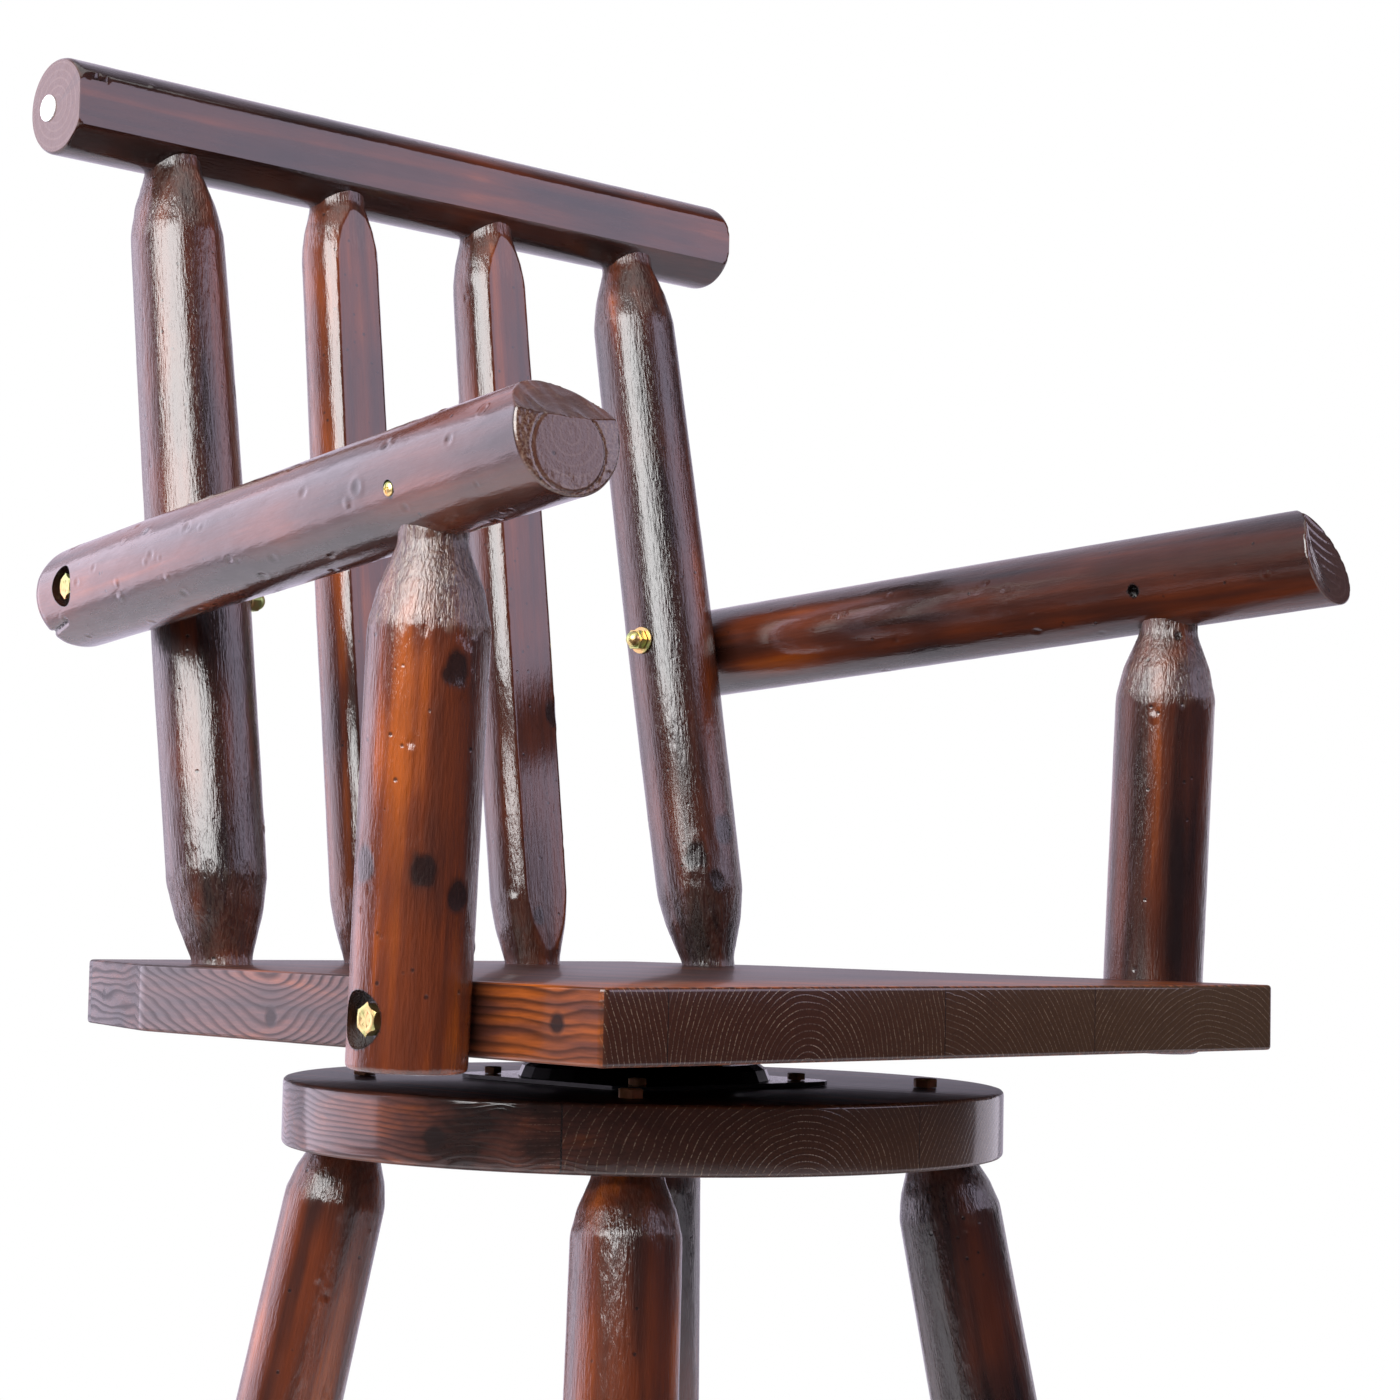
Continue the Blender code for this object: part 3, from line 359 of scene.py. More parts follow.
def firBoards(name, boards):
    finish = boardFinish
    material, tree, shader = newMaterial(name)
    place = addNode(tree, "ShaderNodeTexCoord").outputs["Object"]
    x, y, z = splitVector(tree, place)
    facing = addNode(tree, "ShaderNodeNewGeometry").outputs["True Normal"]
    _, facingY, facingZ = splitVector(tree, facing)
    endGrain = remap(tree, calculate(tree, "ABSOLUTE", facingY), 0.45, 0.8)
    isTop = calculate(tree, "GREATER_THAN", calculate(tree, "ABSOLUTE", facingZ), 0.35)
    (pithX, pithZ), boardNumber, gap = boards["piths"][0], 0.0, 0.0
    for joint, (nextX, nextZ) in zip(boards["joints"], boards["piths"][1:]):
        past = calculate(tree, "GREATER_THAN", x, joint)
        pithX = mixValues(tree, past, pithX, nextX)
        pithZ = mixValues(tree, past, pithZ, nextZ)
        boardNumber = calculate(tree, "ADD", past, boardNumber)
        gap = calculate(tree, "MAXIMUM", calculate(tree, "COMPARE", x, joint, finish["glueLine"]), gap)
    pithZ = calculate(tree, "ADD", pithZ, boards["middleZ"])
    pith = addNode(tree, "ShaderNodeCombineXYZ", {0: pithX, 2: pithZ}).outputs[0]
    reach = vectorMath(tree, "DISTANCE", vectorMath(tree, "MULTIPLY", place, (1, 0, 1)), pith)
    shift = addNode(tree, "ShaderNodeCombineXYZ", {1: boardNumber}).outputs[0]
    along = vectorMath(tree, "MULTIPLY_ADD", place, finish["lengthwise"], shift)
    drawn = vectorMath(tree, "MULTIPLY", along, finish["swayLengthwise"])
    slowSway, longSway = (noise(tree, drawn, *settings) for settings in finish["swayNoises"])
    sway, waver, broad, fine = (noise(tree, along, *settings) for settings in finish["noises"])

    # The lines of the long faces dip towards each knot
    knotMark, knotBend = 0.0, 0.0
    for knotX, knotY, knotZ, knotSize, reachBehind, reachBefore, slope in boards["knots"]:
        away = vectorMath(tree, "DISTANCE", place, (knotX, knotY, knotZ))
        ragged = calculate(tree, "MULTIPLY_ADD", broad, knotSize * 1.4, away)
        mark = remap(tree, ragged, knotSize * 1.8, knotSize * 1.35)
        alongBoard = calculate(tree, "SUBTRACT", y, knotY)
        behind = multiply(tree, alongBoard, 1 / reachBehind)
        before = multiply(tree, alongBoard, -1 / reachBefore)
        apart = calculate(tree, "SMOOTH_MAX", behind, before, 0.55)
        bend = remap(tree, apart, 1.0, 0.0, 0.0, slope * (reachBehind + reachBefore) / 2)
        knotMark = calculate(tree, "MAXIMUM", mark, knotMark)
        knotBend = calculate(tree, "ADD", bend, knotBend)

    # Adds noises to a place, counts its rings by their spacing, and gives where in its ring a point is
    def ringSaw(start, pushes, amounts, spacing):
        for push, amount in zip(pushes, amounts):
            start = calculate(tree, "MULTIPLY_ADD", push, amount, start)
        return calculate(tree, "FRACT", multiply(tree, start, 1 / spacing))

    endSaw = ringSaw(reach, (sway, waver), finish["endSways"], finish["ringSpacing"])
    bent = calculate(tree, "ADD", z, knotBend)
    sideSaw = ringSaw(bent, (slowSway, longSway), finish["sideSways"], boards["sideSpacing"])
    topSaw = ringSaw(x, (slowSway, sway), finish["topSways"], finish["topSpacing"])
    longSaw = mixValues(tree, isTop, sideSaw, topSaw)

    # Long faces: thin dark summer wood on brown or orange; end grain: finer pale ridges on dark brown,
    # their paleness partly painted highlight on the raised rings
    line = ramp(tree, longSaw, finish["lineStops"])
    ridge = ramp(tree, endSaw, finish["ridgeStops"])
    # Warmer along Y by the glow; on the seat partly painted light, warmer where the arm posts keep the
    # sheen off the sides
    glowFrom, glowTo, glowAmount = boards["glow"]
    glow = remap(tree, y, glowFrom, glowTo, boards["warmth"], glowAmount + boards["warmth"])
    wood = ramp(tree, calculate(tree, "ADD", glow, broad), finish["stain"])
    depth = remap(tree, sway, 0.35, 0.62, 0.6 * boards["lineDepth"], boards["lineDepth"])
    lineShare = multiply(tree, line, depth)
    longWood = mixColours(tree, lineShare, wood, finish["line"])
    olive = remap(tree, x, -0.15, 0.24)
    endBase = mixColours(tree, olive, finish["endWood"], finish["endOlive"])
    # The pale end-grain ridges, broken into specks and patches, are partly painted highlight
    speckle = remap(tree, noise(tree, place, *finish["speckle"]), 0.42, 0.6, 0.02, 0.62)
    patchy = remap(tree, broad, 0.35, 0.65, 0.35, 1.35)
    ridgeShare = multiply(tree, multiply(tree, ridge, speckle), patchy)
    endWood = mixColours(tree, ridgeShare, endBase, finish["endLineAndHighlight"])
    shaded = mixColours(tree, endGrain, longWood, endWood)
    fineShade = remap(tree, fine, 0.3, 0.7, 0.72, 1.2)
    shaded = mixColours(tree, 0.6, shaded, fineShade, "MULTIPLY")
    dark = calculate(tree, "MAXIMUM", knotMark, gap)
    shaded = mixColours(tree, dark, shaded, finish["knot"], amount=0.92)
    tree.links.new(shaded, shader.inputs["Base Color"])
    relief = calculate(tree, "MULTIPLY_ADD", fine, 0.3, mixValues(tree, endGrain, line, ridge))
    cracked = multiply(tree, waver, -3.0)
    relief = calculate(tree, "MULTIPLY_ADD", knotMark, cracked, relief)
    strengths = {"Normal": finish["bump"], "Coat Normal": finish["coatBump"]}
    addBumps(tree, shader, relief, finish["bumpDistance"], strengths)

    # The varnish sinks into the summer wood and the knots, so their lines stay dark under a glare
    varnish = remap(tree, isTop, 0, 1, 0.95, 0.25)
    sunk = mixValues(tree, endGrain, lineShare, 0.0)
    sunk = calculate(tree, "MAXIMUM", sunk, multiply(tree, knotMark, 0.7))
    varnish = multiply(tree, varnish, remap(tree, sunk, 0, 1, 1.0, 0.4))
    tree.links.new(varnish, shader.inputs["Coat Weight"])
    setInputs(shader, {
        "Roughness": 0.45, "Specular IOR Level": 0.1, "Coat Roughness": 0.11, "Coat IOR": 1.6,
    })
    return material


# Steel under black paint or yellow zinc, and the white filler of the plug: each slightly cloudy.
# The zinc down on the disc is duller and more coppery.
plainFinishes = {
    "blackPaintedSteel": {"tones": ("#0b0b0c", "#131314"), "rough": 0.16, "metal": 0.0, "scale": 400},
    "yellowZincSteel": {"tones": ("#ecc084", "#bcd08a"), "rough": 0.38, "metal": 1.0, "scale": 110},
    "warmZincSteel": {"tones": ("#d8a27c", "#b58a5e"), "rough": 0.5, "metal": 0.5, "scale": 110},
    "whiteFiller": {"tones": ("#eceef0", "#e2e5e8"), "rough": 0.5, "metal": 0.0, "scale": 300},
}


def plainFinish(name):
    finish = plainFinishes[name]
    material, tree, shader = newMaterial(name)
    place = addNode(tree, "ShaderNodeTexCoord").outputs["Object"]
    cloud = noise(tree, place, finish["scale"], 3)
    tone = mixColours(tree, remap(tree, cloud, 0.35, 0.65), *finish["tones"])
    tree.links.new(tone, shader.inputs["Base Color"])
    rough = remap(tree, cloud, 0.3, 0.7, finish["rough"] * 0.8, finish["rough"] * 1.2)
    tree.links.new(rough, shader.inputs["Roughness"])
    addBumps(tree, shader, cloud, 0.0002, {"Normal": 0.25})
    setInputs(shader, {"Metallic": finish["metal"]})
    return material


fir = stainedFir()
seatFir = firBoards("seatFirBoards", seatBoards)
discFir = firBoards("discFirBoards", discBoards)
blackSteel, yellowZinc, discZinc, whiteFiller = (plainFinish(name) for name in plainFinishes)
print("materials made")


# Logs

# Waves, pebbles, fibres and the ragged shoulder are a height and the size of their noise's cells
logShape = {
    "bodyStations": 14,
    "radiusBlur": 0.0022,
    "endDensity": 0.45,
    "capReach": 0.9,
    "calmEnd": 0.004,
    "waves": (0.0003, (0.02, 0.02, 0.09)),
    "pebbles": (0.00008, (0.005, 0.005, 0.013)),
    "fibres": (0.0004, (0.0022, 0.0022, 0.014)),
    "shoulderReach": 0.004,
    "shoulderBlur": 0.002,
    "raggedShoulder": (0.006, (0.006, 0.006, 0.05)),
    "facetCount": 8,
    "facetReach": 0.39,
    "facetHeight": 0.0006,
    "bodyFacet": 0.00015,
    "knotCell": (0.006, 0.006, 0.006),
    "knotRim": 0.00035,
    "knotPit": 0.0002,
    "pitsPerMetre": 50,
    "pitMargin": 0.03,
    "pitSizes": (0.0013, 0.0026),
    "pitLifts": (-0.0006, -0.0004, 0.0005),
    "boreReach": 0.02,
    "flatPeel": 0.35,
}

# What a log has unless it says otherwise. Knots are a height, an angle and a size. Cracks run from
# one height and angle to another, with a width and a depth. Flats are a normal and a distance.
# Cutters are round pockets: mouth, direction, radius and depth.
logDefaults = {
    "around": 96,
    "rowStep": 0.0023,
    "capRings": 22,
    "facing": toCamera,
    "hewnEnds": (),
    "facets": 1.0,
    "pits": 1.0,
    "knots": (),
    "cracks": (),
    "flats": (),
    "cutters": (),
    "torn": 0.12,
    "peel": 1.0,
    "warmth": 0.0,
    "sharp": 50,
}


# The radius along a log: rows of (distance from the end, radius) at both ends, a swelling body between
def logRadius(log, length, z):
    startRows, endRows = log["startRows"], log["endRows"][::-1]
    first, last = startRows[-1][0], length - endRows[0][0]
    stations = np.linspace(first, last, logShape["bodyStations"])[1:-1]
    share = stations / length
    lowRadius, highRadius = log["radii"]
    middle = lowRadius + (highRadius - lowRadius) * share + log["swell"] * np.sin(math.pi * share)
    places = [row[0] for row in startRows] + list(stations) + [length - row[0] for row in endRows]
    radii = [row[1] for row in startRows] + list(middle) + [row[1] for row in endRows]
    window = np.minimum(logShape["radiusBlur"], np.minimum(z, length - z) * 0.5)
    steps = (-1, -0.5, 0, 0.5, 1)
    return sum(np.interp(z + step * window, places, radii) for step in steps) / len(steps)


def turnFrom(angle, bearing):
    return (angle - bearing + math.pi) % (2 * math.pi) - math.pi


# The radius of a log's rough skin at each point, and how hewn, knotted or sawn it is there
def logSkin(log, length, points):
    shape = logShape
    seed = log["seed"]
    random = np.random.RandomState(seed)
    angle = np.arctan2(points[:, 1], points[:, 0])
    z = points[:, 2]
    radius = logRadius(log, length, np.clip(z, 0, length))

    def layer(name, number):
        height, cell = shape[name]
        return height * softNoise(points, cell, seed + number)

    hewn = np.zeros(len(points))
    for end, distance in (("start", z), ("end", length - z)):
        if end in log["hewnEnds"]:
            shoulder = log[end + "Rows"][-1][0] + shape["shoulderReach"]
            ragged = distance + layer("raggedShoulder", 5)
            low, high = shoulder - shape["shoulderBlur"], shoulder + shape["shoulderBlur"]
            hewn = np.maximum(hewn, 1 - smoothStep(low, high, ragged))
    count = shape["facetCount"]
    facets = np.sort((np.arange(count) + random.uniform(-0.3, 0.3, count)) * 2 * math.pi / count)
    apart = np.min([np.abs(turnFrom(angle, facet)) for facet in facets], axis=0)
    scallop = 0.5 - (apart / shape["facetReach"]) ** 2
    bodyFacet = shape["bodyFacet"] * log["facets"]
    lift = -scallop * (bodyFacet + (shape["facetHeight"] - bodyFacet) * hewn)
    lift += layer("waves", 0) + layer("pebbles", 1) - np.abs(layer("fibres", 2)) * hewn
    knot = np.zeros(len(points))

    # How far each point of the skin lies from a mark, as a share of the mark's size
    def farFrom(bearing, height, size, stretch=1):
        return np.hypot(turnFrom(angle, bearing) * radius, (z - height) * stretch) / size

    for knotZ, knotAngle, knotSize in log["knots"]:
        far = farFrom(math.radians(knotAngle), knotZ, knotSize, 0.8)
        far *= 1 + 0.25 * softNoise(points, shape["knotCell"], seed + 3)
        knot = np.maximum(knot, 1 - smoothStep(0.65, 1.05, far))
        lift += shape["knotRim"] * np.exp(-((far - 1.0) / 0.35) ** 2)
        lift -= shape["knotPit"] * np.exp(-(far / 0.45) ** 2)
    for firstZ, firstAngle, lastZ, lastAngle, width, depth in log["cracks"]:
        share = np.clip((z - firstZ) / (lastZ - firstZ), 0, 1)
        bearing = np.radians(firstAngle + (lastAngle - firstAngle) * share)
        far = farFrom(bearing, firstZ + (lastZ - firstZ) * share, width * (1 - 0.3 * share))
        lift -= depth * np.exp(-far ** 2)
        knot = np.maximum(knot, np.exp(-(far / 0.9) ** 2))
    margin = shape["pitMargin"]
    for _ in range(int(shape["pitsPerMetre"] * length * log["pits"])):
        pitZ, pitAngle = random.uniform(margin, length - margin), random.uniform(-math.pi, math.pi)
        pitSize, pitLift = random.uniform(*shape["pitSizes"]), random.choice(shape["pitLifts"])
        far = farFrom(pitAngle, pitZ, pitSize, 0.75)
        lift += pitLift * (np.exp(-far ** 2) - 0.35 * np.exp(-((far - 1.5) / 0.5) ** 2)) * (1 - hewn)
        # Sunken pits are painted darker than the skin around them, through the knot mark
        knot = np.maximum(knot, 0.45 * np.exp(-(far / 0.7) ** 2) * (pitLift < 0))
    sawn = np.where((z < 1e-4) | (z > length - 1e-4), 1.0, 0.0)
    return radius + lift * skinCalm(z, length), hewn, knot, sawn


# The skin's relief fades towards both ends
def skinCalm(z, length):
    return smoothStep(0, logShape["calmEnd"], np.minimum(z, length - z)) * 0.8 + 0.2


# Cuts a log flat beyond a plane, in the log's own space
def cutFlat(points, normal, distance):
    normal = np.array(normal) / np.linalg.norm(normal)
    beyond = np.maximum(points @ normal - distance, 0)
    return points - beyond[:, None] * normal


def makeLog(name, body, ownSettings, signs=(1, 1)):
    shape, log = logShape, {**logDefaults, **ownSettings}
    start, end = (Vector(mirrored(log[key], signs)) for key in ("start", "end"))
    length = (end - start).length
    bm = bmesh.new()
    bmesh.ops.create_cone(bm, cap_ends=True, segments=log["around"], radius1=1, radius2=1, depth=1)
    bmesh.ops.translate(bm, verts=bm.verts, vec=(0, 0, 0.5))
    sides = [edge for edge in bm.edges if abs(edge.verts[0].co.z - edge.verts[1].co.z) > 0.5]
    bmesh.ops.subdivide_edges(bm, edges=sides, cuts=int(length / log["rowStep"]))
    for cap in [face for face in bm.faces if len(face.verts) > 4]:
        for _ in range(log["capRings"]):
            bmesh.ops.inset_region(bm, faces=[cap], thickness=shape["capReach"] / log["capRings"])
    unit = np.array([vert.co for vert in bm.verts])
    share = unit[:, 2]
    z = length * (share - shape["endDensity"] * np.sin(2 * math.pi * share) / (2 * math.pi))
    reach = np.hypot(unit[:, 0], unit[:, 1])
    around = unit[:, :2] / reach[:, None]
    plain = np.column_stack((around * logRadius(log, length, z)[:, None], z))
    grown = logSkin(log, length, plain)[0] * np.clip(reach, 0, 1)
    points = np.column_stack((around * grown[:, None], z))
    for normal, distance in log["flats"]:
        points = cutFlat(points, normal, distance)
    if "shapeEnd" in log:
        points = log["shapeEnd"](log, length, points)
    matrix = placing(start, end - start, log["facing"])
    for vert, point in zip(bm.verts, points):
        vert.co = matrix @ Vector(point)
        if vert.co.z < 0:
            vert.co += (end - start) * (-vert.co.z / (end - start).z)
    piece = addPiece(name + "_log", bm, fir, body, [name], log["sharp"])
    cutters = [
        (mirrored(mouth, signs), mirrored(direction, signs), radius, depth)
        for mouth, direction, radius, depth in log["cutters"]
    ]
    for cutter in cutters:
        boreInto(piece, *cutter)
    markLog(piece, log, cutters, length, matrix)


def boreInto(piece, mouth, direction, radius, depth):
    reach = logShape["boreReach"]
    bm = bmesh.new()
    bmesh.ops.create_cone(
        bm, cap_ends=True, segments=48, radius1=radius, radius2=radius, depth=depth + reach,
        matrix=placing(mouth, direction) @ Matrix.Translation((0, 0, (depth - reach) / 2)),
    )
    tool = addObject("bore", meshFrom("bore", bm))
    modifier = piece.modifiers.new("bore", "BOOLEAN")
    modifier.object = tool
    modifier.solver = "EXACT"
    bpy.context.view_layer.update()
    graph = bpy.context.evaluated_depsgraph_get()
    finished = bpy.data.meshes.new_from_object(piece.evaluated_get(graph))
    piece.modifiers.clear()
    piece.data = finished
    finished.set_sharp_from_angle(angle=math.radians(50))
    bpy.data.objects.remove(tool)


# Writes where each point lies in its log, for the grain, and how hewn, knotted or sawn it is. Its pale
# fibre share is partly painted highlight on the hewn necks, and its knot mark also paints shade inside
# bored holes
def markLog(piece, log, cutters, length, matrix):
    mesh = piece.data
    count = len(mesh.vertices)
    placed = np.empty(count * 3)
    mesh.vertices.foreach_get("co", placed)
    placed = placed.reshape(-1, 3)
    back = np.array(matrix.inverted())
    points = placed @ back[:3, :3].T + back[:3, 3]
    _, hewn, knot, sawn = logSkin(log, length, points)
    torn = hewn * log["torn"]
    if "sawnEnd" in log:
        endSawn, endTorn = log["sawnEnd"](log, length, points)
        sawn, torn = np.maximum(sawn, endSawn), np.maximum(torn, endTorn)
    # Bored holes take the full knot mark on their walls: painted shade deep inside the holes, where there
    # are no knots
    for mouth, direction, radius, _ in cutters:
        along = np.array(Vector(direction).normalized())
        offset = placed - np.array(mouth)
        across = np.linalg.norm(offset - (offset @ along)[:, None] * along, axis=1)
        knot = np.where((across < radius + 0.0004) & (np.abs(offset @ along) < 0.03), 1.0, knot)
    peeled = log["peel"] * (1 + 0.9 * hewn)
    for normal, distance in log["flats"]:
        onFlat = points @ (np.array(normal) / np.linalg.norm(normal)) > distance - 0.0004
        peeled = np.where(onFlat, logShape["flatPeel"], peeled)
    attributes = {
        "grain": points,
        "marks": np.column_stack((torn, knot, sawn)),
        "peel": peeled,
        "warmth": np.full(count, log["warmth"]),
        "logNumber": np.full(count, log["seed"] * 0.37),
    }
    for name, values in attributes.items():
        kind, field = ("FLOAT_VECTOR", "vector") if values.ndim > 1 else ("FLOAT", "value")
        attribute = mesh.attributes.new(name, kind, "POINT")
        attribute.data.foreach_set(field, values.astype(np.float32).ravel())


# Back posts: a tenon in the seat and another in the rail
backPost = {
    "outer": {
        "start": (0.2065, 0.1546, 0.7005),
        "end": (0.1975, 0.2595, 1.2699),
        "radii": (0.0298, 0.0285),
        "swell": 0.0022,
        "startRows": ((0, 0.0185), (0.0337, 0.0185), (0.0603, 0.0267), (0.082, 0.0306)),
        "endRows": ((0, 0.0185), (0.0346, 0.0185), (0.0574, 0.026), (0.076, 0.0296)),
        "peel": 1.3,
        "facets": 3.0,
        "warmth": -0.03,
    },
    "inner": {
        "start": (0.0682, 0.1851, 0.7003),
        "end": (0.065, 0.2594, 1.27),
        "radii": (0.0262, 0.025),
        "swell": 0.001,
        "startRows": ((0, 0.019), (0.0328, 0.019), (0.0544, 0.0241), (0.072, 0.0264)),
        "endRows": ((0, 0.019), (0.0344, 0.019), (0.0507, 0.0234), (0.064, 0.0255)),
        "facing": (0, -1, 0),
        "flats": (((1, 0, 0), 0.0195),),
        "peel": 0.9,
        "facets": 1.5,
        "warmth": 0.03,
    },
    "left_outer": {"seed": 11},
    "left_inner": {"seed": 18, "knots": ((0.17, 60, 0.007),)},
    "right_outer": {"seed": 25, "knots": ((0.105, 0, 0.009), (0.12, 45, 0.01), (0.085, 25, 0.007))},
    "right_inner": {"seed": 32, "knots": ((0.2, 40, 0.008), (0.06, -20, 0.006))},
}
for sideName, sideSign in sideSigns.items():
    for row in ("outer", "inner"):
        place = f"{sideName}_{row}"
        post = {**backPost[row], **backPost[place], "hewnEnds": ("start", "end")}
        makeLog(f"back_post_{place}", "seat", post, (sideSign, 1))
print("back posts made")

# The top rail: sawn square at its left, rounded at its right, flattened in front and below
frontFlat, lowerFlat, lowerAngle = 0.0262, 0.0288, math.radians(50)
topRail = {
    "start": (-0.283, 0.259, 1.267),
    "end": (0.283, 0.259, 1.267),
    "facing": (0, -1, 0),
    "radii": (0.0307, 0.0307),
    "swell": 0.0,
    "startRows": ((0, 0.0292), (0.002, 0.0307)),
    "endRows": ((0, 0.024), (0.0016, 0.028), (0.0035, 0.03), (0.007, 0.0307)),
    "flats": (((1, 0, 0), frontFlat), ((math.cos(lowerAngle), math.sin(lowerAngle), 0), lowerFlat)),
    "pits": 0.1,
    "peel": 0.35,
    "warmth": -0.08,
    "cracks": ((0.0, -28, 0.022, -31, 0.001, 0.0022), (0.0, -36, 0.014, -34, 0.0009, 0.0018)),
    "seed": 53,
    "sharp": 40,
}
makeLog("top_rail", "seat", topRail)
print("rail made")

# Arms: rounded behind. In front the left one has a smooth heart with a groove round it and its top
# cut off, and the right one a long slanting nose.
armLog = {
    "start": (0.2603, 0.2538, 0.9549),
    "end": (0.3207, -0.2862, 1.001),
    "facing": (0, 0, 1),
    "radii": (0.0315, 0.0318),
    "swell": 0.0004,
    "startRows": ((0, 0.0195), (0.0016, 0.0255), (0.006, 0.0299), (0.012, 0.0315)),
    "endRows": ((0, 0.0306), (0.001, 0.0318)),
    "around": 160,
    "rowStep": 0.0014,
    "capRings": 40,
    "peel": 0.45,
    "sharp": 35,
    "boltPocket": ((0.2971, 0.2127, 0.9585), (-0.9938, -0.1107, 0.0047), 0.0126, 0.0113),
    "squeezed": 0.05,
    "left": {
        "pits": 3.6,
        "warmth": -0.06,
        "knots": ((0.395, 95, 0.0045), (0.15, 60, 0.003)),
        "cracks": ((0.001, 143, 0.036, 131, 0.0017, 0.0024),),
        "seed": 71,
        "screwHole": ((0.3402, -0.1636, 0.982), (-0.9939, -0.1103, 0.0094), 0.0046, 0.0034),
        "topCutTilt": 42,
        "topCutHeight": 0.0085,
        "heartRadius": 0.0212,
        "heartAt": (-0.008, 0.001),
    },
    "right": {
        "warmth": -0.045,
        "knots": ((0.5365, -26, 0.0028),),
        "seed": 83,
        "screwHole": ((0.2742, -0.1599, 0.9819), (0.9939, 0.1103, -0.0094), 0.004, 0.0086),
        "nose": 0.024,
        "gougesFrom": (0.05, -0.03),
        "gougeSpacing": 0.008,
    },
}


# How far an arm's front end drops back at each place across it, and how rough it is there
def armEnd(arm, points):
    x, y = points[:, 0], points[:, 1]
    if "nose" in arm:
        share = np.clip(0.5 + x / (2 * arm["radii"][1]), 0, 1)
        drop = arm["nose"] * share * (1 - 0.75 * smoothStep(0, 0.03, y))
        fromSide = np.hypot(x - arm["gougesFrom"][0], y - arm["gougesFrom"][1])
        gouges = np.maximum(np.cos(fromSide * 2 * math.pi / arm["gougeSpacing"]), 0) ** 2
        return drop + 0.0009 * gouges * share, np.full(len(points), 0.15)
    outside = np.hypot(x - arm["heartAt"][0], y - arm["heartAt"][1]) - arm["heartRadius"]
    drop = 0.0008 * np.exp(-((outside - 0.0004) / 0.0006) ** 2) + 0.15 * np.maximum(outside, 0)
    return drop, np.maximum(smoothStep(0, 0.0008, outside), 0.45 * smoothStep(-0.016, -0.022, x))


# The plane that cuts off the top of an arm's front end
def armTopCut(arm, length):
    tilt = math.radians(arm["topCutTilt"])
    normal = np.array((math.cos(tilt), 0, math.sin(tilt)))
    return normal, normal @ np.array((arm["topCutHeight"], 0, length))


def shapeArmEnd(arm, length, points):
    drop, rough = armEnd(arm, points)
    chips = 0.0005 * np.abs(softNoise(points, (0.0045, 0.0014, 0.03), arm["seed"] + 8)) * rough
    drop += np.where(points[:, 2] > length - 1e-4, chips, 0)
    squeezed = arm["squeezed"]
    points[:, 2] -= drop * np.clip((points[:, 2] - length + squeezed) / squeezed, 0, 1)
    if "topCutTilt" in arm:
        normal, distance = armTopCut(arm, length)
        beyond = points @ normal > distance
        points = cutFlat(points, normal, distance)
        gouges = 0.0006 * np.abs(softNoise(points, (0.02, 0.006, 0.02), arm["seed"] + 9))
        points -= np.where(beyond, gouges, 0)[:, None] * normal
    return points


def sawnArmEnd(arm, length, points):
    drop, rough = armEnd(arm, points)
    onEnd = points[:, 2] > length - drop - 0.0012
    onCut = np.zeros(len(points), dtype=bool)
    if "topCutTilt" in arm:
        normal, distance = armTopCut(arm, length)
        onCut = points @ normal > distance - 0.0012
    sawn = np.where(onCut, 0.55, np.where(onEnd, 0.9, 0.0))
    return sawn, np.where(onEnd & ~onCut, 0.6 * rough, 0.0)


for sideName, sideSign in sideSigns.items():
    arm = {**armLog, **armLog[sideName], "shapeEnd": shapeArmEnd, "sawnEnd": sawnArmEnd}
    arm["cutters"] = (arm["boltPocket"], arm["screwHole"])
    makeLog(f"arm_{sideName}", "seat", arm, (sideSign, 1))
print("arms made")

# Arm posts: bolted to the seat's sides, tenoned into the arms
armPost = {
    "start": (0.307, -0.1526, 0.6835),
    "end": (0.307, -0.1658, 1.0003),
    "radii": (0.032, 0.0325),
    "swell": 0.0,
    "startRows": ((0, 0.029), (0.0004, 0.0305), (0.0015, 0.0316), (0.003, 0.032)),
    "endRows": ((0, 0.019), (0.0447, 0.019), (0.0674, 0.0281), (0.086, 0.0324)),
    "hewnEnds": ("end",),
    "around": 160,
    "rowStep": 0.0014,
    "peel": 1.35,
    "cutters": (((0.339, -0.1522, 0.71), (-0.9996, -0.028, 0), 0.0152, 0.0105),),
    # The left post's neck gets more pale fibres than the right: partly painted highlight of the lamps on
    # the varnished taper
    "left": {
        "seed": 97,
        "warmth": 0.01,
        "torn": 0.5,
        "knots": ((0.208, 32, 0.009), (0.105, -52, 0.009), (0.104, 12, 0.009), (0.092, 46, 0.008)),
    },
    "right": {"seed": 109, "warmth": -0.01, "torn": 0.25, "knots": ((0.27, 10, 0.003),)},
}
for sideName, sideSign in sideSigns.items():
    makeLog(f"arm_post_{sideName}", "seat", {**armPost, **armPost[sideName]}, (sideSign, 1))
print("arm posts made")

